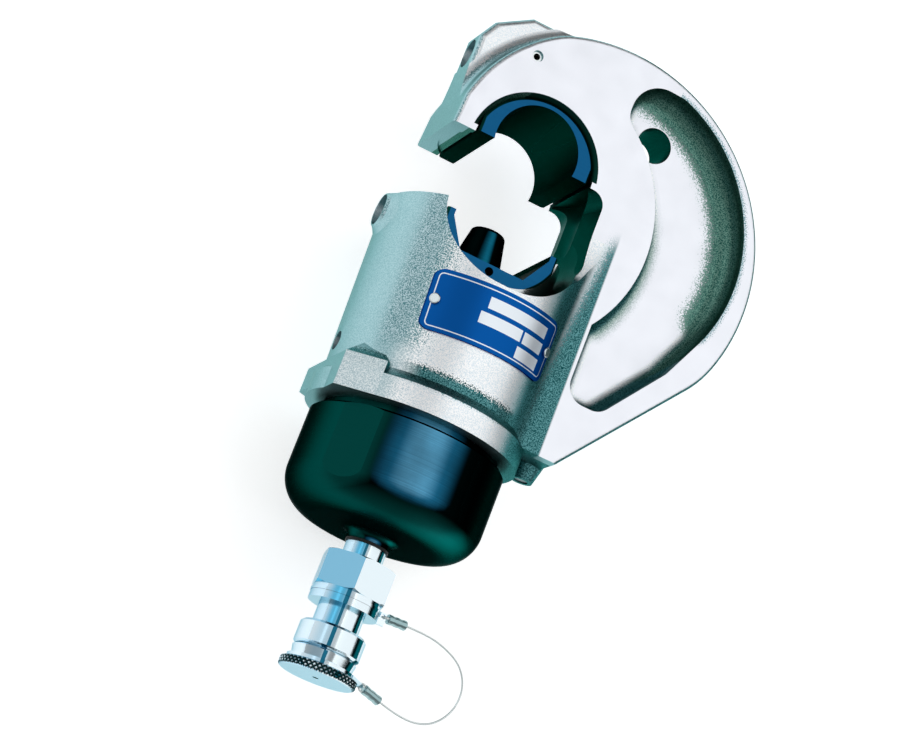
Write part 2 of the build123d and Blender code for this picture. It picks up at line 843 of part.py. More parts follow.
# Packing of the piston: lip seal towards the oil, backup ring above it, wear ring higher up
seal_back_y = seal_top_y - backup_width
seal_low_y = seal_back_y - seal_width + face_gap
seal_mid_radius = (piston_radius + seal_root_radius + face_gap) / 2
with BuildPart() as ram_seal:
    turned(
        (seal_root_radius + face_gap, seal_back_y),
        (piston_radius, seal_back_y),
        (piston_radius, seal_low_y),
        (piston_radius - seal_lip, seal_low_y),
        (seal_mid_radius, seal_low_y + seal_width / 2),
        (seal_root_radius + face_gap + seal_lip, seal_low_y),
        (seal_root_radius + face_gap, seal_low_y),
    )
save(ram_seal, "ram_seal")

with BuildPart() as ram_backup_ring:
    ring(piston_radius, seal_root_radius + face_gap, seal_top_y - face_gap, seal_back_y + face_gap)
save(ram_backup_ring, "ram_backup_ring")

with BuildPart() as ram_wear_ring:
    wear_low_y = wear_top_y - wear_ring_width
    ring(piston_radius, wear_root_radius + face_gap, wear_top_y - face_gap, wear_low_y + face_gap)
save(ram_wear_ring, "ram_wear_ring")

# Return gear: rod screwed into the cap, nut on its top, spring, retainer in the ram's foot
with BuildPart() as return_rod:
    bar_y(rod_radius, rod_top_y, cap_floor_y)
    bar_y(rod_thread_radius - thread_fit, cap_floor_y, cap_floor_y - rod_thread_length + face_gap)
    # oil goes up through the rod's foot and out sideways into the chamber
    outlet_y = cap_floor_y + chamber_gap / 2
    bar_y(oil_passage_radius, outlet_y, coupler_y, mode=Mode.SUBTRACT)
    bar_x(oil_outlet_radius, -rod_thread_radius, rod_thread_radius, outlet_y, mode=Mode.SUBTRACT)
save(return_rod, "return_rod")

with BuildPart() as rod_nut:
    ring(rod_nut_radius, rod_radius + thread_fit, nut_top_y, nut_bottom_y)
    chamfer(rod_nut.edges().group_by(SortBy.LENGTH)[-1], ram_edge)
save(rod_nut, "rod_nut")

with BuildPart() as return_spring:
    coil_spring(
        return_spring_radius,
        return_spring_wire,
        (0, retainer_y, 0),
        (0, 1, 0),
        nut_bottom_y - retainer_y,
        return_spring_turns,
    )
save(return_spring, "return_spring")

with BuildPart() as spring_retainer:
    ring(retainer_radius, rod_radius + 2 * relief_room, retainer_y, ram_bottom_y + face_gap)
save(spring_retainer, "spring_retainer")

# Upper die: half round on the outside, round nest, latch hole in its crown
latch_tip_y = upper_die_y + die_radius - latch_depth
with BuildPart() as upper_die:
    die_blank(upper_die_y)
    bar_z(nest_radius, -far_out, far_out, 0, 0, mode=Mode.SUBTRACT)
    split(bisect_by=Plane.XZ.offset(-upper_die_y - die_split), keep=Keep.BOTTOM)
    bar_y(
        latch_radius + slide_fit,
        upper_die_y + die_radius,
        latch_tip_y - latch_hole_extra,
        mode=Mode.SUBTRACT,
    )
save(upper_die, "upper_die")

# Lower die: flat nest with sloping arms, seat for the punch, dimple for the detent
with BuildPart() as lower_die:
    die_blank(lower_die_y)
    split(bisect_by=Plane.XZ.offset(-lower_die_y + die_split), keep=Keep.TOP)
    anvil_mouth_y = lower_die_y - anvil_mouth_drop
    with BuildSketch() as anvil_outline:
        with BuildLine():
            Polyline(
                (-anvil_half_mouth, lower_die_y),
                (-anvil_half_mouth, anvil_mouth_y),
                (-anvil_half_floor, anvil_floor_y),
                (anvil_half_floor, anvil_floor_y),
                (anvil_half_mouth, anvil_mouth_y),
                (anvil_half_mouth, lower_die_y),
                close=True,
            )
        make_face()
    extrude(amount=far_out, both=True, mode=Mode.SUBTRACT)
    bar_y(
        punch_spigot_radius + seat_fit,
        anvil_floor_y,
        anvil_floor_y - punch_spigot_length - face_gap,
        mode=Mode.SUBTRACT,
    )
    bar_z(
        punch_pin_radius + thread_fit,
        die_front_z - punch_pin_recess - punch_pin_length - face_gap,
        die_front_z,
        0,
        punch_pin_y,
        mode=Mode.SUBTRACT,
    )
    detent_nose_y = lower_die_y - die_radius + detent_engagement
    bar_y(
        detent_nose_radius + slide_fit,
        detent_nose_y + face_gap,
        lower_die_y - die_radius,
        mode=Mode.SUBTRACT,
    )
save(lower_die, "lower_die")

with BuildPart() as indent_punch:
    turned(
        (0, anvil_floor_y + punch_height),
        (punch_top_radius, anvil_floor_y + punch_height),
        (punch_base_radius, anvil_floor_y + face_gap),
        (punch_spigot_radius, anvil_floor_y + face_gap),
        (punch_spigot_radius, anvil_floor_y - punch_spigot_length),
        (0, anvil_floor_y - punch_spigot_length),
    )
    fillet(indent_punch.edges().group_by(Axis.Y)[-1], punch_round)
    bar_z(punch_pin_radius + thread_fit, -far_out, far_out, 0, punch_pin_y, mode=Mode.SUBTRACT)
save(indent_punch, "indent_punch")

with BuildPart() as punch_cross_pin:
    punch_pin_end = die_front_z - punch_pin_recess
    bar_z(punch_pin_radius, punch_pin_end - punch_pin_length, punch_pin_end, 0, punch_pin_y)
save(punch_cross_pin, "punch_cross_pin")

# Detent of the lower die: sprung plunger in the bottom of the ram's seat
detent_top_y = seat_bottom_y - face_gap
with BuildPart() as lower_die_detent:
    bar_y(detent_radius, detent_top_y, detent_top_y - detent_length)
    bar_y(detent_nose_radius, detent_nose_y, detent_top_y)
    fillet(lower_die_detent.edges().group_by(Axis.Y)[-1], detent_engagement / 2)
save(lower_die_detent, "lower_die_detent")

with BuildPart() as detent_spring:
    coil_spring(
        detent_radius - detent_spring_wire,
        detent_spring_wire,
        (0, detent_floor_y, 0),
        (0, 1, 0),
        detent_top_y - detent_length - detent_floor_y,
        detent_spring_turns,
    )
save(detent_spring, "detent_spring")

# Upper release: button with a ramp that lifts the latch pin, kept by a cross pin
ramp_foot_y = release_y - release_radius + latch_radius * latch_ramp
release_face_x = release_boss_x + release_recess
ramp_reach = latch_radius + release_travel + slide_fit
with BuildPart() as upper_release_pin:
    bar_x(release_radius, release_face_x, release_end_x, release_y)
    chamfer(upper_release_pin.edges().group_by(Axis.X)[0], button_edge)
    # slot past the cross pin, open at the top
    slot_start = release_pin_x - release_pin_radius - release_travel - slide_fit
    slot_end = release_pin_x + release_pin_radius + slide_fit
    slot_floor = release_pin_y - release_pin_radius - slide_fit
    with BuildSketch() as pin_slot:
        with BuildLine():
            Polyline(
                (slot_start, slot_floor),
                (slot_end, slot_floor),
                (slot_end, release_y + 2 * release_radius),
                (slot_start, release_y + 2 * release_radius),
                close=True,
            )
        make_face()
    extrude(amount=far_out, both=True, mode=Mode.SUBTRACT)
    # ramp over the latch pin
    with BuildSketch() as latch_slope:
        with BuildLine():
            Polyline(
                (latch_radius, ramp_foot_y - latch_radius * latch_ramp),
                (-ramp_reach, ramp_foot_y + ramp_reach * latch_ramp),
                (-ramp_reach, release_y - 2 * release_radius),
                (latch_radius, release_y - 2 * release_radius),
                close=True,
            )
        make_face()
    extrude(amount=far_out, both=True, mode=Mode.SUBTRACT)
save(upper_release_pin, "upper_release_pin")

with BuildPart() as upper_latch_pin:
    bar_y(latch_radius, release_y, latch_tip_y)
    with BuildSketch() as latch_top:
        with BuildLine():
            Polyline(
                (2 * latch_radius, ramp_foot_y - face_gap - 2 * latch_radius * latch_ramp),
                (-2 * latch_radius, ramp_foot_y - face_gap + 2 * latch_radius * latch_ramp),
                (-2 * latch_radius, release_y + latch_radius),
                (2 * latch_radius, release_y + latch_radius),
                close=True,
            )
        make_face()
    extrude(amount=far_out, both=True, mode=Mode.SUBTRACT)
save(upper_latch_pin, "upper_latch_pin")

with BuildPart() as release_cross_pin:
    pin_low_z = jaw_half - release_pin_depth + face_gap
    pin_high_z = jaw_half - release_pin_recess
    bar_z(release_pin_radius, pin_low_z, pin_high_z, release_pin_x, release_pin_y)
    bar_z(release_pin_bore, pin_low_z, pin_high_z, release_pin_x, release_pin_y, mode=Mode.SUBTRACT)
save(release_cross_pin, "release_cross_pin")

with BuildPart() as release_spring:
    coil_spring(
        release_spring_radius,
        release_spring_wire,
        (release_end_x, release_y, 0),
        (1, 0, 0),
        release_bore_end_x - release_end_x,
        release_spring_turns,
    )
save(release_spring, "release_spring")

# Quick coupler: body, seal, washer, sleeve, poppet
hex_top_y = coupler_y - coupler_seal_thickness - spigot_length
hex_bottom_y = hex_top_y - hex_length
step_bottom_y = hex_bottom_y - step_length
sleeve_top_y = step_bottom_y - neck_length
sleeve_bottom_y = sleeve_top_y - sleeve_length
nose_end_y = sleeve_bottom_y - nose_length
body_end_y = sleeve_bottom_y + face_gap
poppet_seat_y = nose_end_y + poppet_lip + face_gap
poppet_top_y = poppet_seat_y + poppet_length
poppet_bore_end_y = poppet_top_y + poppet_spring_length
with BuildPart() as coupler_body:
    with BuildSketch(station(hex_top_y)):
        RegularPolygon(hex_size / 2, 6, major_radius=False, rotation=hex_turn)
    extrude(amount=hex_length)
    hex_corner = hex_size / sqrt(3)
    turned(
        (0, hex_top_y),
        (hex_corner - hex_edge, hex_top_y),
        (hex_corner, hex_top_y - hex_edge / 2),
        (hex_corner, hex_bottom_y + hex_edge / 2),
        (hex_corner - hex_edge, hex_bottom_y),
        (0, hex_bottom_y),
        mode=Mode.INTERSECT,
    )
    turned(
        (0, port_floor_y - face_gap),
        (port_radius - thread_fit, port_floor_y - face_gap),
        (port_radius - thread_fit, coupler_y - coupler_seal_thickness),
        (spigot_radius, coupler_y - coupler_seal_thickness),
        (spigot_radius, hex_top_y),
        (spigot_radius, hex_bottom_y),
        (step_radius, hex_bottom_y),
        (step_radius, step_bottom_y),
        (neck_radius, step_bottom_y),
        (neck_radius, sleeve_top_y),
        (sleeve_thread_radius, sleeve_top_y),
        (sleeve_thread_radius, body_end_y),
        (0, body_end_y),
    )
    bar_y(oil_passage_radius, port_floor_y, body_end_y, mode=Mode.SUBTRACT)
    bar_y(poppet_radius + slide_fit, poppet_bore_end_y, body_end_y, mode=Mode.SUBTRACT)
save(coupler_body, "coupler_body")

with BuildPart() as coupler_seal:
    seal_high_y = coupler_y - face_gap
    seal_foot_y = coupler_y - coupler_seal_thickness + face_gap
    ring(coupler_seal_radius, port_radius, seal_high_y, seal_foot_y)
save(coupler_seal, "coupler_seal")

washer_bottom_y = step_bottom_y - face_gap - washer_thickness
with BuildPart() as coupler_washer:
    ring(washer_radius, neck_radius + thread_fit, step_bottom_y - face_gap, washer_bottom_y)
save(coupler_washer, "coupler_washer")

with BuildPart() as coupler_sleeve:
    turned(
        (sleeve_thread_radius + thread_fit, sleeve_top_y - face_gap),
        (sleeve_radius - sleeve_edge, sleeve_top_y - face_gap),
        (sleeve_radius, sleeve_top_y - face_gap - sleeve_edge),
        (sleeve_radius, sleeve_bottom_y + sleeve_edge),
        (sleeve_radius - sleeve_edge, sleeve_bottom_y),
        (nose_radius, sleeve_bottom_y),
        (nose_radius, nose_end_y),
        (poppet_nose_radius + slide_fit, nose_end_y),
        (poppet_nose_radius + slide_fit, nose_end_y + poppet_lip),
        (poppet_radius + slide_fit, nose_end_y + poppet_lip),
        (poppet_radius + slide_fit, sleeve_bottom_y),
        (sleeve_thread_radius + thread_fit, sleeve_bottom_y),
    )
save(coupler_sleeve, "coupler_sleeve")

with BuildPart() as coupler_poppet:
    turned(
        (0, poppet_top_y),
        (poppet_radius, poppet_top_y),
        (poppet_radius, poppet_seat_y),
        (poppet_nose_radius, poppet_seat_y),
        (poppet_nose_radius, poppet_seat_y - poppet_nose_length),
        (0, poppet_seat_y - poppet_nose_length),
    )
save(coupler_poppet, "coupler_poppet")

with BuildPart() as poppet_spring:
    coil_spring(
        poppet_spring_radius,
        poppet_spring_wire,
        (0, poppet_top_y, 0),
        (0, 1, 0),
        poppet_spring_length,
        poppet_spring_turns,
    )
save(poppet_spring, "poppet_spring")

# Dust cap: screw sleeve, groove for the lanyard's ring, disc with a rim for the fingers
dust_top_y = sleeve_bottom_y - dust_cap_gap
groove_top_y = dust_top_y - dust_sleeve_length
groove_bottom_y = groove_top_y - dust_groove_width
disc_bottom_y = groove_bottom_y - dust_disc_thickness
dust_floor_y = nose_end_y - dust_seal_thickness - 2 * face_gap
with BuildPart() as dust_cap:
    turned(
        (nose_radius + thread_fit, dust_top_y),
        (dust_sleeve_radius, dust_top_y),
        (dust_sleeve_foot_radius, groove_top_y),
        (dust_groove_radius, groove_top_y),
        (dust_groove_radius, groove_bottom_y),
        (dust_disc_radius - dust_disc_edge, groove_bottom_y),
        (dust_disc_radius, groove_bottom_y - dust_disc_edge),
        (dust_disc_radius, disc_bottom_y + dust_disc_edge),
        (dust_disc_radius - dust_disc_edge, disc_bottom_y),
        (0, disc_bottom_y),
        (0, dust_floor_y),
        (nose_radius + thread_fit, dust_floor_y),
    )
save(dust_cap, "dust_cap")

with BuildPart() as dust_cap_seal:
    bar_y(nose_radius - thread_fit, nose_end_y - face_gap, dust_floor_y + face_gap)
save(dust_cap_seal, "dust_cap_seal")

# Lanyard: each end of the wire has a crimped ferrule with an eye, one in the anchor ring's tab
# and one in the strap of the dust cap's ring
eye_step = ferrule_length + 2 * eye_radius - eye_overlap
wire_points = [Vector(x, coupler_y + y, z) for x, y, z in wire_route]
upper_run = (wire_points[0] - wire_points[1]).normalized()
lower_run = (wire_points[-1] - wire_points[-2]).normalized()
upper_eye = wire_points[0] + upper_run * eye_step
lower_eye = wire_points[-1] + lower_run * eye_step


def ferrule(end, run, sheet_normal):
    # sleeve on the wire's end, with an eye that stands across the sheet it goes through
    with BuildSketch(Plane(end, z_dir=run)) as sleeve_section:
        Circle(ferrule_radius)
    extrude(sleeve_section.sketch, amount=ferrule_length)
    eye_centre = end + run * (ferrule_length + eye_radius - eye_overlap)
    with Locations(Plane(eye_centre, x_dir=run, z_dir=run.cross(sheet_normal))):
        Torus(eye_radius, wire_radius)


with BuildPart() as upper_ferrule:
    ferrule(wire_points[0], upper_run, Vector(0, 0, 1))
save(upper_ferrule, "upper_ferrule")

with BuildPart() as lower_ferrule:
    ferrule(wire_points[-1], lower_run, Vector(0, 1, 0))
save(lower_ferrule, "lower_ferrule")

anchor_top_y = washer_bottom_y - face_gap
anchor_bottom_y = anchor_top_y - anchor_thickness
tab_inner_x = washer_radius + face_gap
tab_outer_x = upper_eye.X + eye_hole_radius + tab_rim
with BuildPart() as lanyard_anchor_ring:
    with BuildSketch(Plane.XY.offset(upper_eye.Z - tab_thickness / 2)) as tab_outline:
        with BuildLine():
            Polyline(
                (neck_radius + tab_root, anchor_top_y),
                (tab_inner_x, anchor_top_y),
                (tab_inner_x, upper_eye.Y + tab_half_height),
                (tab_outer_x, upper_eye.Y + tab_half_height),
                (tab_outer_x, anchor_bottom_y),
                (neck_radius + tab_root, anchor_bottom_y),
                close=True,
            )
        make_face()
    extrude(amount=tab_thickness)
    ring(anchor_radius, neck_radius + thread_fit, anchor_top_y, anchor_bottom_y)
    bar_z(eye_hole_radius, -far_out, far_out, upper_eye.X, upper_eye.Y, mode=Mode.SUBTRACT)
save(lanyard_anchor_ring, "lanyard_anchor_ring")

# Flat ring in the dust cap's groove; its strap leaves on a tangent and ends at the lower eye
ring_inner_radius = dust_groove_radius + cap_ring_room
ring_middle_radius = (ring_inner_radius + cap_ring_radius) / 2
ring_top_y = (groove_top_y + groove_bottom_y + cap_ring_thickness) / 2
strap_turn = acos(ring_middle_radius / sqrt(lower_eye.X**2 + lower_eye.Z**2))
strap_length = sqrt(lower_eye.X**2 + lower_eye.Z**2 - ring_middle_radius**2)
eye_bearing = degrees(atan2(lower_eye.Z, lower_eye.X))
with BuildPart() as lanyard_cap_ring:
    ring(cap_ring_radius, ring_inner_radius, ring_top_y, ring_top_y - cap_ring_thickness)
    with BuildSketch(station(ring_top_y)) as strap_outline:
        with Locations(Location((0, 0), eye_bearing + degrees(strap_turn))):
            with Locations((ring_middle_radius, -strap_length / 2)):
                Rectangle(strap_width, strap_length)
            with Locations((ring_middle_radius, -strap_length)):
                Circle(eye_hole_radius + tab_rim)
                Circle(eye_hole_radius, mode=Mode.SUBTRACT)
    extrude(amount=cap_ring_thickness)
    turned(
        (0, ring_top_y),
        (ring_inner_radius, ring_top_y),
        (ring_inner_radius, ring_top_y - cap_ring_thickness),
        (0, ring_top_y - cap_ring_thickness),
        mode=Mode.SUBTRACT,
    )
save(lanyard_cap_ring, "lanyard_cap_ring")

# Lanyard wire: one free loop between the ferrules, each bend as large as its runs allow
wire_bends = []
for before, at, after in zip(wire_points, wire_points[1:], wire_points[2:]):
    run_in = at - before
    run_out = after - at
    half_turn = radians(run_in.get_angle(run_out) / 2)
    wire_bends.append(bend_share * min(run_in.length, run_out.length) / tan(half_turn))
with BuildPart() as lanyard_wire:
    with BuildLine() as wire_path:
        FilletPolyline(*wire_points, radius=wire_bends)
    with BuildSketch(Plane(wire_path.line @ 0, z_dir=wire_path.line % 0)):
        Circle(wire_radius)
    sweep(path=wire_path.line)
save(lanyard_wire, "lanyard_wire")
print("wire bend radii", [round(bend, 1) for bend in wire_bends])
wire_length = sum(edge.length for edge in wire_path.edges())
wire_section = pi * wire_radius**2
print("wire length", round(wire_length, 2), "section times length", round(wire_section * wire_length, 2))
print("wire volume", round(lanyard_wire.part.volume, 2))
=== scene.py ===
import json
import math

import bmesh
import bpy
import numpy as np
from mathutils import Matrix, Vector


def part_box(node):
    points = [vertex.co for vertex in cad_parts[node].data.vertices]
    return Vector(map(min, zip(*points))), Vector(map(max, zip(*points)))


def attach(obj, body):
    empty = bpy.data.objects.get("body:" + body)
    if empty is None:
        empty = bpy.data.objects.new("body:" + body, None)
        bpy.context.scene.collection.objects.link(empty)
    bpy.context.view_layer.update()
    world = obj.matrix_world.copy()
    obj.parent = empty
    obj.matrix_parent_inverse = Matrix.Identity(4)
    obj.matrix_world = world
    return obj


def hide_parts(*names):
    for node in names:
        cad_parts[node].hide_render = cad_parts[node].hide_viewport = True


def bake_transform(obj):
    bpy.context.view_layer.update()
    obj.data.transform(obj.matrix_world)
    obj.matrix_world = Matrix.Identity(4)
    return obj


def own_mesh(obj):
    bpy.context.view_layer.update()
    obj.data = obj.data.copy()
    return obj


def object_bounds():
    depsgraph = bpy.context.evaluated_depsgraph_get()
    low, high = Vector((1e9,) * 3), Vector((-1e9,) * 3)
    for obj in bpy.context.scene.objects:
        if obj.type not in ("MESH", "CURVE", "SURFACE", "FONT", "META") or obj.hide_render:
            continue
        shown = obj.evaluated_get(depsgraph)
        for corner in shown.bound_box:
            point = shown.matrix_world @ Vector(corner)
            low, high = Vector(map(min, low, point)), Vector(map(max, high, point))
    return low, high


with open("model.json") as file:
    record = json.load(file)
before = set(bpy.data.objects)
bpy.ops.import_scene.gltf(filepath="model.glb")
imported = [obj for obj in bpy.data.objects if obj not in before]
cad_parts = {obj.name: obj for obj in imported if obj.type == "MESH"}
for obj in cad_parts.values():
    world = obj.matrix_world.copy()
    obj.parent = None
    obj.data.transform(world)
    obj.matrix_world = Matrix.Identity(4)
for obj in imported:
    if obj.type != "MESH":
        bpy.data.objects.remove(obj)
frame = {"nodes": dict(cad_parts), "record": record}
cadLow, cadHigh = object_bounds()
nodes = frame["nodes"]
mm = 0.001
print("frame loaded:", len(nodes), "nodes")

# camera of the photograph: place and aim in metres, roll of the tool's axis in the picture
photoCamera = {
    "place": (-0.25177, -0.35800, 0.93853),
    "aim": (0.00476, -0.07889, 0.0),
    "rollDeg": 21.24,
    "focalPixels": 2969.2,
    "widthPixels": 900,
    "sensorMm": 36.0,
}


def makeCamera(spec):
    data = bpy.data.cameras.new("photoCamera")
    data.sensor_width = spec["sensorMm"]
    data.lens = spec["focalPixels"] / spec["widthPixels"] * spec["sensorMm"]
    camera = bpy.data.objects.new("photoCamera", data)
    bpy.context.scene.collection.objects.link(camera)
    place = Vector(spec["place"])
    forward = (Vector(spec["aim"]) - place).normalized()
    along = (Vector((0, 1, 0)) - forward * forward.y).normalized()  # the tool's axis in the picture
    side = forward.cross(along)
    roll = math.radians(spec["rollDeg"])
    right = side * math.cos(roll) + along * math.sin(roll)
    up = along * math.cos(roll) - side * math.sin(roll)
    turn = Matrix((right, up, -forward)).transposed()
    camera.matrix_world = Matrix.Translation(place) @ turn.to_4x4()
    bpy.context.scene.camera = camera


makeCamera(photoCamera)
print("camera set")


def linearColour(hexValue):  # sRGB hex text to linear RGBA
    channels = np.array([int(hexValue[i:i + 2], 16) for i in (1, 3, 5)]) / 255
    linear = np.where(channels <= 0.04045, channels / 12.92, ((channels + 0.055) / 1.055) ** 2.4)
    return (*linear.tolist(), 1.0)


def perMetre(sizeMm):  # texture scale for a feature of this size
    return 1 / (sizeMm * mm)


def addNode(tree, kind, settings, inputs):  # one node with its settings, values and links
    node = tree.nodes.new(kind)
    for name, value in settings.items():
        setattr(node, name, value)
    for name, value in inputs.items():
        if isinstance(value, bpy.types.NodeSocket):
            tree.links.new(value, node.inputs[name])
        else:
            node.inputs[name].default_value = value
    return node


def newMaterial(name, values):  # a material, its node tree and its shader with these socket values
    material = bpy.data.materials.new(name)
    material.use_nodes = True
    tree = material.node_tree
    shader = tree.nodes["Principled BSDF"]
    for key, value in values.items():
        shader.inputs[key].default_value = value
    return material, tree, shader


# shot-blasted and zinc-plated steel forging: a painted highlight of white metal on the ridge of the barrel,
# smooth pale teal on its flanks, and painted shade of dark grain in every hollow and rounded edge, which
# breaks up into specks where it ends; the milled faces are near white, and painted shade of dark green lies
# in the throat, the hanging hole and the pockets
forgedHead = {
    "edgeTint": "#9CC4BE",
    "milled": "#EEF1F8",
    # painted shade: the dark green of the throat and the hanging hole
    "throat": "#0F3C34",
    "grains": {  # pits and tops of the grain; the ridge's is a painted highlight, the ones after it are painted shade
        "flank": ("#8FB7BE", "#A9CBD1"),
        "ridgeHighlight": ("#DCE8EF", "#FFFFFF"),
        "shoulderShade": ("#4F858C", "#BFD8DF"),
        "hollowShade": ("#0E4548", "#5F999D"),
        "pocket": ("#23564E", "#6A9488"),
        "innerWallShade": ("#64867E", "#8FADA6"),
    },
    "grainMm": 0.42,  # drawn a little coarser than the real grit, which would not show
    "grainTops": (0.42, 0.58),
    "mottleMm": 9.0,
    "roughness": (0.28, 0.44),
    "biteMm": 0.11,
    "biteShare": (0.4, 0.05),  # on the forged skin and on the milled faces
    "centresMm": {  # distances are read from these, along the milled faces
        "fromSeat": (0.0, 0.0, 0.0),
        "fromHole": (41.8, 24.4, 0.0),
        "fromPocket": (27.4, -13.4, 0.0),  # middle of the arc of the pockets' outer wall
        "fromInner": (-0.5, -18.1, 0.0),  # middle of the arc of their inner wall
    },
    "bandMm": 9.5,  # painted shade: a dark band along the outer wall of the pockets
    "bandFootMm": (-40.0, -26.0),  # thins out towards their foot
    "raggedMm": {  # what is read, and how far the grain pushes it to and fro
        "across": ("x", 14.0),
        "along": ("y", 8.4),
        "outward": ("bandReach", 14.0),
        "speckled": ("fromPocket", 7.0),
        "inwards": ("fromInner", 4.2),
    },
    "raggedTurn": {"sideways": ("facingX", 0.9)},  # and how far it pushes a facing
    "valleyShadeSpread": 0.15,  # how fast the painted shade in the valley beside the barrel widens downwards
    "rampsMm": {  # what is read, where the region starts and where it is full
        "bank": ("x", 39.5, 38.7),  # the painted shade in the valley ends at this bank
        "spreading": ("spread", 37.55, 41.55),  # and begins at a line that spreads from its tip
        "belowTip": ("y", -13.0, -23.0),
        "rightHalf": ("across", 21.0, 25.0),  # painted shade darkens rounded edges and the barrel's flank right of this
        "outerBand": ("outward", 46.0, 49.0),
        "aboveFoot": ("y", -40.0, -35.0),
        "rimSpecks": ("speckled", 58.2, 57.2),  # painted shade specks reach this far out of the pocket
        "innerShade": ("inwards", 59.3, 53.8),
        "lowerHalf": ("y", 10.0, -14.0),  # painted shade greys the inner wall from here down
        "aboveCorner": ("y", -53.0, -47.0),
    },
    "rampsTurn": {  # the same by where the skin faces
        "tilted": ("upright", 0.97, 0.8),
        "notWall": ("upright", 0.12, 0.3),
        "flat": ("upright", 0.93, 0.995),
        "ridgeHighlight": ("upright", 0.7, 0.9),
        "turnedUp": ("upright", 0.5, 0.7),
        "towardsFront": ("facingX", -0.6, -0.35),
        "fromFlank": ("facingX", -0.86, -0.76),
        "toRidge": ("sideways", -0.42, -0.56),
        "towardsThroat": ("facingX", -0.2, -0.7),
        "towardsCoupler": ("facingY", -0.2, -0.7),
    },
    "flangeMm": (-90.0, -82.0),  # the flange and its block, below this, have only a share of the painted shade specks
    "flangeShare": 0.3,
    "beyondMm": {  # what is read, and the edge that the region lies beyond
        "notHole": ("fromHole", 6.8),
        "pastHole": ("x", 41.8),
        "overFloor": ("height", 9.3),
        "inside": ("x", 15.0),  # walls right of this that face the throat or the coupler get painted shade
        "atRim": ("fromPocket", 56.0),
    },
    "withinMm": {  # or within
        "inHole": ("fromHole", 6.8),
        "inSeat": ("fromSeat", 25.4),
        "inPocket": ("fromPocket", 57.6),
        "nearThroat": ("fromPocket", 47.5),
        "underFace": ("height", 19.1),
        "nearMiddle": ("height", 14.0),
        "belowTail": ("y", -92.0),
    },
    "stripesMm": {  # or near: middle and half width
        "aboveFlange": ("along", -94.75, 3.25),
        "onFace": ("height", 19.3, 0.12),
        "onFloor": ("height", 9.5, 0.12),
    },
    "regions": {  # how the parts of each one join
        # painted shade: from the valley to the hollow, in the hollows and on the edges right of the barrel
        "valleyShade": ("all", "bank", "spreading", "belowTip"),
        "edgeShade": ("all", "tilted", "notWall", "rightHalf"),
        "grooveShade": ("all", "aboveFlange", "bank", "towardsFront"),
        "lugShade": ("all", "belowTail", "nearMiddle", "rightHalf"),
        "hollowShade": ("any", "valleyShade", "edgeShade", "grooveShade", "lugShade"),
        # painted shade: a band, specks and a grey along the walls of the pockets
        "bandShade": ("all", "outerBand", "underFace", "notHole", "inPocket", "overFloor", "inside", "aboveFoot"),
        "rimShade": ("all", "rimSpecks", "atRim", "pastHole", "aboveFoot"),
        "innerWallShade": ("all", "innerShade", "lowerHalf", "aboveCorner", "underFace", "overFloor", "inside"),
        # painted shade: dark green on walls in the pockets, the seat, the throat and the hanging hole
        "turnedIn": ("any", "towardsCoupler", "towardsThroat"),
        "facingAwayShade": ("all", "turnedIn", "inside", "inPocket"),
        "seatShade": ("butNot", "inSeat", "onFace"),
        "wallShade": ("any", "facingAwayShade", "seatShade"),
        "level": ("any", "onFace", "onFloor"),
        "milled": ("all", "level", "flat"),
        # painted shade: specks between the flank and the painted highlight of the ridge
        "shoulderShade": ("all", "fromFlank", "toRidge", "turnedUp", "speckShare"),
        "dark": ("any", "inHole", "nearThroat"),
    },
    "layers": {  # region and its colour, each laid over the ones before
        "ridgeHighlight": "ridgeHighlight",
        "shoulderShade": "shoulderShade",
        "milled": "milled",
        "rimShade": "shoulderShade",
        "innerWallShade": "innerWallShade",
        "hollowShade": "hollowShade",
        "bandShade": "pocket",
        "wallShade": "darkGreen",
    },
}


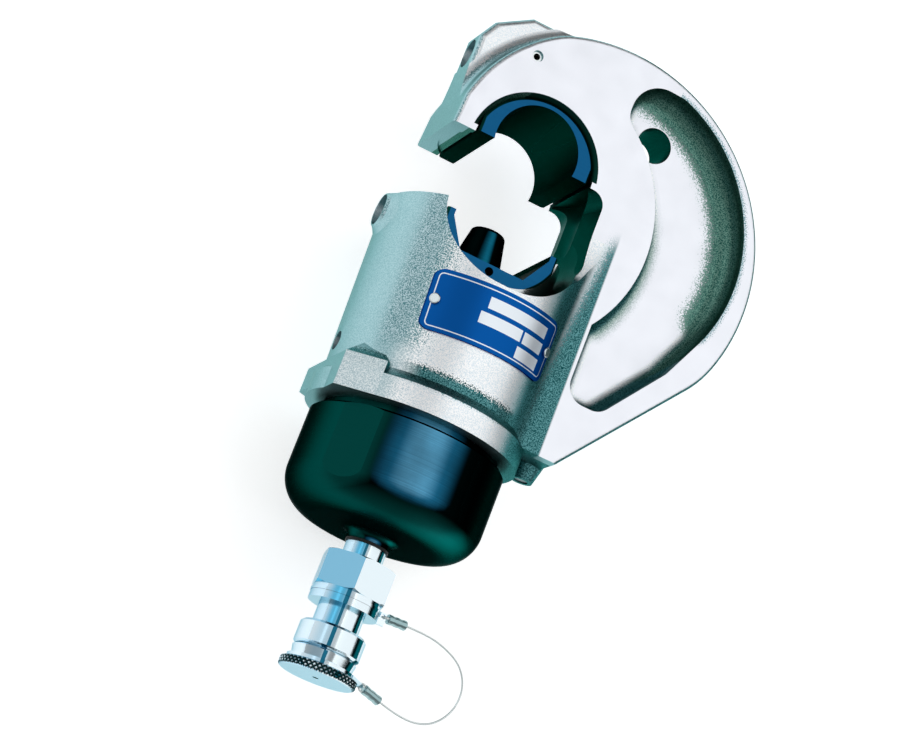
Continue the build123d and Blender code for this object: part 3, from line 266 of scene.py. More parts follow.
def zincPlatedForging(look):
    material, tree, shader = newMaterial("zincPlatedForging",
                                         {"Metallic": 1.0, "Specular Tint": linearColour(look["edgeTint"])})
    coords = addNode(tree, "ShaderNodeTexCoord", {}, {})
    place = coords.outputs["Object"]
    spot = addNode(tree, "ShaderNodeSeparateXYZ", {}, {"Vector": place})
    facing = addNode(tree, "ShaderNodeSeparateXYZ", {}, {"Vector": coords.outputs["Normal"]})
    grain = addNode(tree, "ShaderNodeTexNoise", {},
                    {"Vector": place, "Scale": perMetre(look["grainMm"]), "Detail": 2.0, "Roughness": 0.65})
    mottle = addNode(tree, "ShaderNodeTexNoise", {},
                     {"Vector": place, "Scale": perMetre(look["mottleMm"]), "Detail": 3.0})
    smooth = {"interpolation_type": "SMOOTHSTEP"}
    # what the regions are read from: place, facing and distances, and the same pushed to and fro by the grain
    read = {"x": spot.outputs["X"], "y": spot.outputs["Y"],
            "facingX": facing.outputs["X"], "facingY": facing.outputs["Y"]}
    for name, source in (("height", spot.outputs["Z"]), ("upright", facing.outputs["Z"])):
        read[name] = addNode(tree, "ShaderNodeMath", {"operation": "ABSOLUTE"}, {0: source}).outputs[0]
    flatSpot = addNode(tree, "ShaderNodeVectorMath", {"operation": "MULTIPLY"}, {0: place, 1: (1, 1, 0)})
    for name, middle in look["centresMm"].items():
        apart = addNode(tree, "ShaderNodeVectorMath", {"operation": "DISTANCE"},
                        {0: flatSpot.outputs[0], 1: tuple(value * mm for value in middle)})
        read[name] = apart.outputs["Value"]
    bandLow, bandHigh = look["bandFootMm"]
    thinned = addNode(tree, "ShaderNodeMapRange", smooth,
                      {"Value": read["y"], "From Min": bandLow * mm, "From Max": bandHigh * mm,
                       "To Min": -look["bandMm"] * mm, "To Max": 0.0})
    read["bandReach"] = addNode(tree, "ShaderNodeMath", {"operation": "ADD"},
                                {0: read["fromPocket"], 1: thinned.outputs["Result"]}).outputs[0]
    # the grain about its middle
    sway = addNode(tree, "ShaderNodeMapRange", {},
                   {"Value": grain.outputs["Fac"], "To Min": -0.5, "To Max": 0.5})
    for unit, pushes in ((mm, look["raggedMm"]), (1, look["raggedTurn"])):
        for name, (source, push) in pushes.items():
            read[name] = addNode(tree, "ShaderNodeMath", {"operation": "MULTIPLY_ADD"},
                                 {0: sway.outputs["Result"], 1: push * unit, 2: read[source]}).outputs[0]
    read["spread"] = addNode(tree, "ShaderNodeMath", {"operation": "MULTIPLY_ADD"},
                             {0: read["y"], 1: -look["valleyShadeSpread"], 2: read["across"]}).outputs[0]
    # share of each region, from nothing to full
    shares = {}
    for unit, ramps in ((mm, look["rampsMm"]), (1, look["rampsTurn"])):
        for name, (source, start, full) in ramps.items():
            ramp = addNode(tree, "ShaderNodeMapRange", smooth,
                           {"Value": read[source], "From Min": start * unit, "From Max": full * unit})
            shares[name] = ramp.outputs["Result"]
    flangeLow, flangeHigh = look["flangeMm"]
    fewer = addNode(tree, "ShaderNodeMapRange", smooth,
                    {"Value": read["y"], "From Min": flangeLow * mm, "From Max": flangeHigh * mm,
                     "To Min": look["flangeShare"]})
    shares["speckShare"] = fewer.outputs["Result"]
    for operation, limits in (("GREATER_THAN", look["beyondMm"]), ("LESS_THAN", look["withinMm"])):
        for name, (source, edge) in limits.items():
            limit = addNode(tree, "ShaderNodeMath", {"operation": operation}, {0: read[source], 1: edge * mm})
            shares[name] = limit.outputs[0]
    for name, (source, middle, half) in look["stripesMm"].items():
        stripe = addNode(tree, "ShaderNodeMath", {"operation": "COMPARE"},
                         {0: read[source], 1: middle * mm, 2: half * mm})
        shares[name] = stripe.outputs[0]
    joins = {"all": "MULTIPLY", "any": "MAXIMUM", "butNot": "GREATER_THAN"}
    for region, (join, first, *others) in look["regions"].items():
        shares[region] = shares[first]
        for part in others:
            joined = addNode(tree, "ShaderNodeMath", {"operation": joins[join]},
                             {0: shares[region], 1: shares[part]})
            shares[region] = joined.outputs[0]
    # colour: pits and tops of the grain for each region, laid over one another
    topsFrom, topsFull = look["grainTops"]
    tops = addNode(tree, "ShaderNodeMapRange", {},
                   {"Value": grain.outputs["Fac"], "From Min": topsFrom, "From Max": topsFull})
    blended = {"data_type": "RGBA"}
    tones = {"milled": linearColour(look["milled"])}
    for region, (pit, top) in look["grains"].items():
        tones[region] = addNode(tree, "ShaderNodeMix", blended,
                                {0: tops.outputs["Result"], 6: linearColour(pit),
                                 7: linearColour(top)}).outputs[2]
    # painted shade: the dark green of the walls, darker in the throat and the hanging hole
    tones["darkGreen"] = addNode(tree, "ShaderNodeMix", blended,
                             {0: shares["dark"], 6: tones["pocket"],
                              7: linearColour(look["throat"])}).outputs[2]
    tone = tones["flank"]
    for region, colour in look["layers"].items():
        tone = addNode(tree, "ShaderNodeMix", blended,
                       {0: shares[region], 6: tone, 7: tones[colour]}).outputs[2]
    tree.links.new(tone, shader.inputs["Base Color"])
    roughLow, roughHigh = look["roughness"]
    rough = addNode(tree, "ShaderNodeMapRange", {},
                    {"Value": mottle.outputs["Fac"], "To Min": roughLow, "To Max": roughHigh})
    tree.links.new(rough.outputs["Result"], shader.inputs["Roughness"])
    biteForged, biteMilled = look["biteShare"]
    depth = addNode(tree, "ShaderNodeMapRange", {},
                    {"Value": shares["milled"], "To Min": biteForged, "To Max": biteMilled})
    bump = addNode(tree, "ShaderNodeBump", {},
                   {"Height": grain.outputs["Fac"], "Strength": depth.outputs["Result"],
                    "Distance": look["biteMm"] * mm})
    tree.links.new(bump.outputs["Normal"], shader.inputs["Normal"])
    return material


# black-oxided turned steel: near black, with a painted reflection of dark green where it faces sideways or
# down, and a painted highlight of blue along its upper side on its turning rings
blackedCap = {
    "oxide": "#010606",
    # painted reflections: green to the sides and below, teal towards the lower right
    "reflectedGreen": "#05433F",
    "foot": "#19736E",
    # painted highlight: blue along the upper side, paler at its middle
    "paintedHighlight": "#1F6F95",
    "highlightPeak": "#5BA3C8",
    "edgeTint": "#0F4A48",
    "highlightTowards": (-0.07, 0.0, 0.9975),
    "highlightFrom": 0.90,
    "highlightPeakFrom": 0.965,
    "reflectedGreenFacing": {  # the painted reflection by where the steel faces: axis, where the green starts and where it is full
        "left": ("X", -0.4, -0.6),
        "right": ("X", 0.6, 0.85),
        "down": ("Y", -0.25, -0.75),
        "downRight": ("X", -0.1, 0.5),
    },
    "ringMm": 0.6,
    "ringDepth": 0.3,
    "ringGrain": (0.3, 0.7),
    "patchMm": 14.0,
    "patchGrain": (0.3, 0.6),
    "patchDepth": 0.3,
    "roughness": (0.26, 0.44),
    "biteMm": 0.012,
    "biteShare": 0.5,
}
# the punch: a narrower painted highlight of one blue, and darker painted reflections
blackedPunch = dict(blackedCap, paintedHighlight="#157A99", highlightPeak="#157A99", reflectedGreen="#020D0D", ringDepth=0.15,
                    highlightFrom=0.93)


def blackOxideTurnedSteel(name, look):
    material, tree, shader = newMaterial(name, {"Metallic": 1.0,
                                                "Specular Tint": linearColour(look["edgeTint"])})
    coords = addNode(tree, "ShaderNodeTexCoord", {}, {})
    place = coords.outputs["Object"]
    along = addNode(tree, "ShaderNodeSeparateXYZ", {}, {"Vector": place}).outputs["Y"]
    facing = addNode(tree, "ShaderNodeSeparateXYZ", {}, {"Vector": coords.outputs["Normal"]})
    rings = addNode(tree, "ShaderNodeTexNoise", {"noise_dimensions": "1D"},
                    {"W": along, "Scale": perMetre(look["ringMm"]), "Detail": 3.0, "Roughness": 0.7})
    patches = addNode(tree, "ShaderNodeTexNoise", {},
                      {"Vector": place, "Scale": perMetre(look["patchMm"]), "Detail": 3.0})
    towards = addNode(tree, "ShaderNodeVectorMath", {"operation": "DOT_PRODUCT"},
                      {0: coords.outputs["Normal"], 1: look["highlightTowards"]})
    ramps = {
        "upper": (towards.outputs["Value"], look["highlightFrom"], 1.0),
        "middle": (towards.outputs["Value"], look["highlightPeakFrom"], 1.0),
    }
    for side, (axis, start, full) in look["reflectedGreenFacing"].items():
        ramps[side] = (facing.outputs[axis], start, full)
    shares = {}
    for side, (source, start, full) in ramps.items():
        ramp = addNode(tree, "ShaderNodeMapRange", {"interpolation_type": "SMOOTHSTEP"},
                       {"Value": source, "From Min": start, "From Max": full})
        shares[side] = ramp.outputs["Result"]
    highlightShare = shares["upper"]
    for noise, kind in ((rings, "ring"), (patches, "patch")):  # the painted highlight is weaker where either noise is low
        grainLow, grainHigh = look[kind + "Grain"]
        uneven = addNode(tree, "ShaderNodeMapRange", {},
                         {"Value": noise.outputs["Fac"], "From Min": grainLow, "From Max": grainHigh,
                          "To Min": 1 - look[kind + "Depth"], "To Max": 1.0})
        highlightShare = addNode(tree, "ShaderNodeMath", {"operation": "MULTIPLY"},
                       {0: highlightShare, 1: uneven.outputs["Result"]}).outputs[0]
    reflectedGreen = shares["left"]
    for side in ("right", "down"):
        reflectedGreen = addNode(tree, "ShaderNodeMath", {"operation": "MAXIMUM"},
                        {0: reflectedGreen, 1: shares[side]}).outputs[0]
    foot = addNode(tree, "ShaderNodeMath", {"operation": "MULTIPLY"},
                   {0: shares["downRight"], 1: shares["down"]}).outputs[0]
    blues = addNode(tree, "ShaderNodeMix", {"data_type": "RGBA"},
                    {0: shares["middle"], 6: linearColour(look["paintedHighlight"]), 7: linearColour(look["highlightPeak"])})
    layers = (
        (reflectedGreen, linearColour(look["reflectedGreen"])),
        (foot, linearColour(look["foot"])),
        (highlightShare, blues.outputs[2]),
    )
    tone = linearColour(look["oxide"])
    for share, colour in layers:
        tone = addNode(tree, "ShaderNodeMix", {"data_type": "RGBA"},
                       {0: share, 6: tone, 7: colour}).outputs[2]
    tree.links.new(tone, shader.inputs["Base Color"])
    roughLow, roughHigh = look["roughness"]
    rough = addNode(tree, "ShaderNodeMapRange", {},
                    {"Value": rings.outputs["Fac"], "To Min": roughLow, "To Max": roughHigh})
    tree.links.new(rough.outputs["Result"], shader.inputs["Roughness"])
    bump = addNode(tree, "ShaderNodeBump", {},
                   {"Height": rings.outputs["Fac"], "Strength": look["biteShare"],
                    "Distance": look["biteMm"] * mm})
    tree.links.new(bump.outputs["Normal"], shader.inputs["Normal"])
    return material


# blued tool steel: ground faces of an even blue, bores and edges left in the dark green of the heat treatment
bluedDies = {
    "blue": "#175C8A",
    "darkGreen": "#0A4A42",
    "edgeTint": "#0C4038",
    "groundFacing": (0.9, 0.95),
    "grindMm": 0.5,
    "grindStretch": (0.05, 1.0, 0.05),
    "roughness": (0.34, 0.5),
}


def bluedToolSteel(look):
    material, tree, shader = newMaterial("bluedToolSteel",
                                         {"Metallic": 1.0, "Specular Tint": linearColour(look["edgeTint"])})
    coords = addNode(tree, "ShaderNodeTexCoord", {}, {})
    facing = addNode(tree, "ShaderNodeSeparateXYZ", {}, {"Vector": coords.outputs["Normal"]})
    upright = addNode(tree, "ShaderNodeMath", {"operation": "ABSOLUTE"}, {0: facing.outputs["Z"]})
    groundFrom, groundFull = look["groundFacing"]
    ground = addNode(tree, "ShaderNodeMapRange", {},
                     {"Value": upright.outputs[0], "From Min": groundFrom, "From Max": groundFull})
    tone = addNode(tree, "ShaderNodeMix", {"data_type": "RGBA"},
                   {0: ground.outputs["Result"], 6: linearColour(look["darkGreen"]),
                    7: linearColour(look["blue"])})
    tree.links.new(tone.outputs[2], shader.inputs["Base Color"])
    grind = addNode(tree, "ShaderNodeMapping", {},
                    {"Vector": coords.outputs["Object"], "Scale": look["grindStretch"]})
    lines = addNode(tree, "ShaderNodeTexNoise", {},
                    {"Vector": grind.outputs[0], "Scale": perMetre(look["grindMm"]), "Detail": 2.0})
    roughLow, roughHigh = look["roughness"]
    rough = addNode(tree, "ShaderNodeMapRange", {},
                    {"Value": lines.outputs["Fac"], "To Min": roughLow, "To Max": roughHigh})
    tree.links.new(rough.outputs["Result"], shader.inputs["Roughness"])
    return material


# ground or turned bright steel: neutral, with fine rings round the tool's axis
turnedRings = {"biteMm": 0.015, "biteShare": 0.35}


def brightSteel(name, hexColour, roughLow, roughHigh, ringMm):
    material, tree, shader = newMaterial(name, {"Metallic": 1.0, "Base Color": linearColour(hexColour)})
    place = addNode(tree, "ShaderNodeTexCoord", {}, {}).outputs["Object"]
    along = addNode(tree, "ShaderNodeSeparateXYZ", {}, {"Vector": place}).outputs["Y"]
    rings = addNode(tree, "ShaderNodeTexNoise", {"noise_dimensions": "1D"},
                    {"W": along, "Scale": perMetre(ringMm), "Detail": 3.0, "Roughness": 0.7})
    rough = addNode(tree, "ShaderNodeMapRange", {},
                    {"Value": rings.outputs["Fac"], "To Min": roughLow, "To Max": roughHigh})
    tree.links.new(rough.outputs["Result"], shader.inputs["Roughness"])
    bump = addNode(tree, "ShaderNodeBump", {},
                   {"Height": rings.outputs["Fac"], "Strength": turnedRings["biteShare"],
                    "Distance": turnedRings["biteMm"] * mm})
    tree.links.new(bump.outputs["Normal"], shader.inputs["Normal"])
    return material


# bright zinc plate on turned steel: silver, with a painted reflection of blue where it faces left, a painted
# dark reflection line down its front and along its right side, and painted shade in the roots of a knurl
zincCoupler = {
    "silver": "#E4F1F7",
    "blue": "#5FB9E0",
    "line": "#247897",
    "dark": "#0E4E55",
    "rootShade": "#082E30",
    "edgeTint": "#B0D2DC",
    "blueFacing": (-0.05, -0.4),  # where the painted blue reflection starts and where it is full, by where the steel faces
    "fadeFacing": (-0.55, -0.8),  # further left it fades to a share
    "fadeShare": 0.35,
    "sleeveBlue": 0.4,  # the painted blue is paler on the sleeve and the dust cap than on the hexagon and the neck
    "sleeveStepMm": 0.1,
    "lineFacing": (-0.25, 0.06),  # middle and half width of the painted dark reflection line down the front
    "darkFacing": (0.64, 0.12),  # and of the one along the right side
    "rootShadeRamp": (0.2, 0.7),
    "ringMm": 0.8,
    "roughness": (0.10, 0.20),
    "biteMm": 0.015,
    "biteShare": 0.35,
}


def brightZincPlate(look):
    material, tree, shader = newMaterial("brightZincPlatedSteel",
                                         {"Metallic": 1.0, "Specular Tint": linearColour(look["edgeTint"])})
    coords = addNode(tree, "ShaderNodeTexCoord", {}, {})
    spot = addNode(tree, "ShaderNodeSeparateXYZ", {}, {"Vector": coords.outputs["Object"]})
    facing = addNode(tree, "ShaderNodeSeparateXYZ", {}, {"Vector": coords.outputs["Normal"]})
    smooth = {"interpolation_type": "SMOOTHSTEP"}
    # painted reflection: blue where the steel faces left
    blueFrom, blueFull = look["blueFacing"]
    leftSide = addNode(tree, "ShaderNodeMapRange", smooth,
                       {"Value": facing.outputs["X"], "From Min": blueFrom, "From Max": blueFull})
    fadeFrom, fadeFull = look["fadeFacing"]
    farLeft = addNode(tree, "ShaderNodeMapRange", smooth,
                      {"Value": facing.outputs["X"], "From Min": fadeFrom, "From Max": fadeFull,
                       "To Min": 1.0, "To Max": look["fadeShare"]})
    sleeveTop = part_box("coupler_sleeve")[1].y
    paler = addNode(tree, "ShaderNodeMapRange", {},
                    {"Value": spot.outputs["Y"], "From Min": sleeveTop,
                     "From Max": sleeveTop + look["sleeveStepMm"] * mm,
                     "To Min": look["sleeveBlue"], "To Max": 1.0})
    shares = {"blue": leftSide.outputs["Result"]}
    for limit in (farLeft, paler):
        shares["blue"] = addNode(tree, "ShaderNodeMath", {"operation": "MULTIPLY"},
                                 {0: shares["blue"], 1: limit.outputs["Result"]}).outputs[0]
    # painted reflection: dark lines by where the steel faces
    for name in ("line", "dark"):
        middle, half = look[name + "Facing"]
        shares[name] = addNode(tree, "ShaderNodeMath", {"operation": "COMPARE"},
                               {0: facing.outputs["X"], 1: middle, 2: half}).outputs[0]
    # painted shade in the roots of the knurl and in the pip
    rootShade = addNode(tree, "ShaderNodeAttribute", {"attribute_name": "knurlRootShade"}, {})
    rootFrom, rootFull = look["rootShadeRamp"]
    shares["rootShade"] = addNode(tree, "ShaderNodeMapRange", smooth,
                             {"Value": rootShade.outputs["Fac"], "From Min": rootFrom,
                              "From Max": rootFull}).outputs["Result"]
    tone = linearColour(look["silver"])
    for name, share in shares.items():
        tone = addNode(tree, "ShaderNodeMix", {"data_type": "RGBA"},
                       {0: share, 6: tone, 7: linearColour(look[name])}).outputs[2]
    tree.links.new(tone, shader.inputs["Base Color"])
    rings = addNode(tree, "ShaderNodeTexNoise", {"noise_dimensions": "1D"},
                    {"W": spot.outputs["Y"], "Scale": perMetre(look["ringMm"]), "Detail": 3.0,
                     "Roughness": 0.7})
    roughLow, roughHigh = look["roughness"]
    rough = addNode(tree, "ShaderNodeMapRange", {},
                    {"Value": rings.outputs["Fac"], "To Min": roughLow, "To Max": roughHigh})
    tree.links.new(rough.outputs["Result"], shader.inputs["Roughness"])
    bump = addNode(tree, "ShaderNodeBump", {},
                   {"Height": rings.outputs["Fac"], "Strength": look["biteShare"],
                    "Distance": look["biteMm"] * mm})
    tree.links.new(bump.outputs["Normal"], shader.inputs["Normal"])
    return material


# moulded nitrile rubber and turned PTFE: soft sheen with a faint mottle
softMottleMm = 1.5


def softRing(name, hexColour, hexMottle, roughness):
    material, tree, shader = newMaterial(name, {"Roughness": roughness})
    place = addNode(tree, "ShaderNodeTexCoord", {}, {}).outputs["Object"]
    mottle = addNode(tree, "ShaderNodeTexNoise", {},
                     {"Vector": place, "Scale": perMetre(softMottleMm), "Detail": 3.0})
    tone = addNode(tree, "ShaderNodeMix", {"data_type": "RGBA"},
                   {0: mottle.outputs["Fac"], 6: linearColour(hexColour), 7: linearColour(hexMottle)})
    tree.links.new(tone.outputs[2], shader.inputs["Base Color"])
    return material


# anodised aluminium plate, printed: royal blue with a white line round it and blank white fields
ratingPlate = {
    "blue": "#0B55A2",
    "white": "#E6EEF5",
    "edgeTint": "#3F6FA8",
    "roughness": 0.36,
    "angleDeg": 8.0,
    "tiltDeg": 2.5,
    "halfWidthMm": 26.5,
    "halfHeightMm": 10.85,
    "cornerMm": 3.0,
    "lineInsetMm": 1.5,
    "lineMm": 0.4,
    "fields": [  # middle and half size of each blank field, along and up the plate
        ((6.95, 4.85), (13.15, 2.05)),
        ((0.6, -0.85), (8.6, 2.05)),
        ((15.35, -0.85), (5.15, 2.05)),
        ((15.0, -6.45), (6.0, 2.05)),
    ],
}


def anodisedPlate(spec):
    material, tree, shader = newMaterial("anodisedPrintedAluminium",
                                         {"Metallic": 1.0, "Roughness": spec["roughness"],
                                          "Specular Tint": linearColour(spec["edgeTint"])})
    minus = {"operation": "SUBTRACT"}
    larger = {"operation": "MAXIMUM"}
    absolute = {"operation": "ABSOLUTE"}
    # the plate unrolled: millimetres along and up it from its middle
    low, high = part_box("rating_plate")
    place = addNode(tree, "ShaderNodeTexCoord", {}, {}).outputs["Object"]
    axes = addNode(tree, "ShaderNodeSeparateXYZ", {}, {"Vector": place})
    bearing = addNode(tree, "ShaderNodeMath", {"operation": "ARCTAN2"},
                      {0: axes.outputs["X"], 1: axes.outputs["Z"]})
    fromMiddle = addNode(tree, "ShaderNodeMath", minus,
                         {0: bearing.outputs[0], 1: math.radians(spec["angleDeg"])})
    arc = addNode(tree, "ShaderNodeMath", {"operation": "MULTIPLY"},
                  {0: fromMiddle.outputs[0], 1: high.z / mm})
    rise = addNode(tree, "ShaderNodeMapRange", {"clamp": False},
                   {"Value": axes.outputs["Y"], "From Min": (low.y + high.y) / 2,
                    "From Max": (low.y + high.y) / 2 + mm})
    flatPlace = addNode(tree, "ShaderNodeCombineXYZ", {}, {"X": arc.outputs[0], "Y": rise.outputs["Result"]})
    level = addNode(tree, "ShaderNodeVectorRotate", {"rotation_type": "Z_AXIS"},
                    {"Vector": flatPlace.outputs[0], "Angle": -math.radians(spec["tiltDeg"])})
    inks = []
    for (middleU, middleV), (halfU, halfV) in spec["fields"]:
        away = addNode(tree, "ShaderNodeVectorMath", minus, {0: level.outputs[0], 1: (middleU, middleV, 0)})
        spread = addNode(tree, "ShaderNodeVectorMath", absolute, {0: away.outputs[0]})
        over = addNode(tree, "ShaderNodeVectorMath", minus, {0: spread.outputs[0], 1: (halfU, halfV, 0)})
        sides = addNode(tree, "ShaderNodeSeparateXYZ", {}, {"Vector": over.outputs[0]})
        worst = addNode(tree, "ShaderNodeMath", larger, {0: sides.outputs["X"], 1: sides.outputs["Y"]})
        inks.append(addNode(tree, "ShaderNodeMath", {"operation": "LESS_THAN"},
                            {0: worst.outputs[0], 1: 0.0}))
    innerHalf = (spec["halfWidthMm"] - spec["cornerMm"], spec["halfHeightMm"] - spec["cornerMm"], 0)
    spread = addNode(tree, "ShaderNodeVectorMath", absolute, {0: level.outputs[0]})
    over = addNode(tree, "ShaderNodeVectorMath", minus, {0: spread.outputs[0], 1: innerHalf})
    corner = addNode(tree, "ShaderNodeVectorMath", larger, {0: over.outputs[0], 1: (0, 0, 0)})
    reach = addNode(tree, "ShaderNodeVectorMath", {"operation": "LENGTH"}, {0: corner.outputs[0]})
    inks.append(addNode(tree, "ShaderNodeMath", {"operation": "COMPARE"},
                        {0: reach.outputs["Value"], 1: spec["cornerMm"] - spec["lineInsetMm"],
                         2: spec["lineMm"] / 2}))
    ink = inks[0]
    for printed in inks[1:]:
        ink = addNode(tree, "ShaderNodeMath", larger, {0: ink.outputs[0], 1: printed.outputs[0]})
    tone = addNode(tree, "ShaderNodeMix", {"data_type": "RGBA"},
                   {0: ink.outputs[0], 6: linearColour(spec["blue"]), 7: linearColour(spec["white"])})
    tree.links.new(tone.outputs[2], shader.inputs["Base Color"])
    return material


finishes = {  # one for each material slot; bright steel: name, colour, roughness from and to, ring in mm
    "forging": zincPlatedForging(forgedHead),
    "cap_black": blackOxideTurnedSteel("blackOxideTurnedSteel", blackedCap),
    "die_blue": bluedToolSteel(bluedDies),
    "punch_black": blackOxideTurnedSteel("blackOxideGroundSteel", blackedPunch),
    "ground_steel": brightSteel("groundSteel", "#D9E0E2", 0.16, 0.30, 0.6),
    "screw_steel": brightSteel("turnedScrewSteel", "#5B7A7E", 0.24, 0.36, 0.5),
    "rubber_seal": softRing("mouldedNitrileRubber", "#0B0D0E", "#15191A", 0.55),
    "ring_plastic": softRing("turnedPtfe", "#DAD6C8", "#E6E3D8", 0.45),
    "spring_steel": brightSteel("drawnSpringSteel", "#8D999B", 0.25, 0.40, 2.0),
    "coupler_zinc": brightZincPlate(zincCoupler),
    "ferrule_metal": brightSteel("crimpedFerruleSteel", "#9DBBBE", 0.22, 0.36, 0.9),
    "wire": brightSteel("strandedSteelWire", "#E2EAEA", 0.25, 0.38, 1.5),
    "plate_blue": anodisedPlate(ratingPlate),
    "rivet": brightSteel("brightRivetSteel", "#CBD6D9", 0.12, 0.20, 0.5),
}
for entry in frame["record"]["subparts"]:
    nodes[entry["node"]].data.materials.clear()
    nodes[entry["node"]].data.materials.append(finishes[entry["material_slot"]])
nodes["upper_release_pin"].data.materials[0] = finishes["screw_steel"]  # the pin in its blind hole takes the darker screw steel
print("materials:", len(finishes))


def surfaceMesh(name, grid, loopRows=False, sharpDeg=40):
    # grid[i, j] are points, each row closes into a ring; rows close into a loop too,
    # or the first and last ring are filled with a fan to their middle
    rows, columns = grid.shape[:2]
    index = np.arange(rows * columns).reshape(rows, columns)
    if loopRows:
        lower, upper = index, np.roll(index, -1, axis=0)
    else:
        lower, upper = index[:-1], index[1:]
    quads = np.stack([lower, np.roll(lower, -1, axis=1), np.roll(upper, -1, axis=1), upper], axis=-1)
    faces = quads.reshape(-1, 4).tolist()
    points = grid.reshape(-1, 3)
    if not loopRows:
        middles = grid[[0, -1]].mean(axis=1)
        points = np.vstack([points, middles])
        for ring, middle in ((index[0][::-1], rows * columns), (index[-1], rows * columns + 1)):
            fan = np.stack([ring, np.roll(ring, -1), np.full(columns, middle)], axis=-1)
            faces += fan.tolist()
    mesh = bpy.data.meshes.new(name)
    mesh.from_pydata(points.tolist(), [], faces)
    turnedOut = bmesh.new()
    turnedOut.from_mesh(mesh)
    bmesh.ops.recalc_face_normals(turnedOut, faces=turnedOut.faces)
    turnedOut.to_mesh(mesh)
    turnedOut.free()
    mesh.shade_smooth()
    mesh.set_sharp_from_angle(angle=math.radians(sharpDeg))
    return mesh


def addPiece(name, mesh, slot, stands):
    piece = bpy.data.objects.new(name, mesh)
    bpy.context.scene.collection.objects.link(piece)
    mesh.materials.append(finishes[slot])
    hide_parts(*stands)
    return piece


def tubeAlong(path, radii, sides):
    # path points with a radius for each; rings stand square to the path, carried on without twist
    tangent = np.gradient(path, axis=0)
    tangent /= np.linalg.norm(tangent, axis=1, keepdims=True)
    normal = np.zeros_like(path)
    seed = np.eye(3)[np.argmin(np.abs(tangent[0]))]
    for i, t in enumerate(tangent):  # parallel transport from one path point to the next
        seed = seed - t * (seed @ t)
        seed = seed / np.linalg.norm(seed)
        normal[i] = seed
    across = np.cross(tangent, normal)
    turn = np.linspace(0, 2 * np.pi, sides, endpoint=False)
    offset = np.cos(turn)[None, :, None] * normal[:, None] + np.sin(turn)[None, :, None] * across[:, None]
    return path[:, None] + offset * radii[..., None]


# lanyard: the points of its route in millimetres, measured from the foot of the cap's boss
lanyard = {
    "route": [
        (22.6, -19.6, -0.6),
        (30.2, -18.9, -2.6),
        (39.2, -19.5, -5.8),
        (48.4, -22.6, -9.0),
        (53.2, -29.6, -11.3),
        (52.2, -38.6, -12.0),
        (45.8, -45.6, -11.4),
        (35.0, -47.6, -8.7),
        (24.8, -45.6, -5.6),
    ],
    "radiusMm": 0.4,
    "strands": 6,
    "layMm": 5.0,
    "strandDepth": 0.16,
    "sides": 36,
    "stepMm": 0.2,
    "splinePoints": 24,  # between two points of the route
    "steadyPart": 5,  # one part in so many of the wire
}
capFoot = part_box("cylinder_cap")[0].y
routePoints = np.array(lanyard["route"]) * mm + (0, capFoot, 0)


def lanyardLine(points, splinePoints):  # points read from a smooth spline on the route
    curve = bpy.data.curves.new("lanyardLine", "CURVE")
    curve.dimensions = "3D"
    curve.resolution_u = splinePoints
    spline = curve.splines.new("NURBS")
    spline.points.add(len(points) - 1)
    for point, spot in zip(spline.points, points):
        point.co = (*spot, 1)
    spline.order_u = 3
    spline.use_endpoint_u = True
    holder = bpy.data.objects.new("lanyardLine", curve)
    line = bpy.data.meshes.new_from_object(holder)
    spots = np.array([vertex.co for vertex in line.vertices])
    bpy.data.objects.remove(holder)
    bpy.data.curves.remove(curve)
    bpy.data.meshes.remove(line)
    return spots


def evenPoints(points, step):  # the same line at even steps
    runs = np.linalg.norm(np.diff(points, axis=0), axis=1)
    travel = np.concatenate([[0], np.cumsum(runs)])
    even = np.linspace(0, travel[-1], int(travel[-1] / step) + 1)
    return np.stack([np.interp(even, travel, points[:, k]) for k in range(3)], axis=-1), travel[-1]


def makeLanyard(spec):
    # stranded wire: a tube whose radius waves with the strands, which turn as they run along
    line, length = evenPoints(lanyardLine(routePoints, spec["splinePoints"]), spec["stepMm"] * mm)
    turn = np.linspace(0, 2 * np.pi, spec["sides"], endpoint=False)
    lay = np.arange(len(line)) * spec["stepMm"] / spec["layMm"] * 2 * np.pi
    wave = np.abs(np.cos(spec["strands"] / 2 * (turn[None, :] - lay[:, None])))
    radii = spec["radiusMm"] * mm * (1 - spec["strandDepth"] * (1 - wave))
    mesh = surfaceMesh("lanyardWire", tubeAlong(line, radii, spec["sides"]), sharpDeg=80)
    piece = addPiece("lanyardWire", mesh, "wire", ["lanyard_wire"])
    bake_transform(piece)
    print("lanyard length in mm:", round(length / mm, 1))


makeLanyard(lanyard)

# crimped ferrules at the two ends of the lanyard, each with the wire's eye
ferrule = {
    "lengthMm": 7.4,
    "radiusMm": 1.75,
    "edgeMm": 0.25,
    "crimpsAt": (0.3, 0.68),
    "crimpDepthMm": 0.14,
    "crimpWidthMm": 0.75,
    "eyeRadiusMm": 1.3,
    "eyeOverlapMm": 0.5,
    "eyeSteps": 48,
    "eyeSides": 16,
    "sides": 32,
    "rows": 60,
}


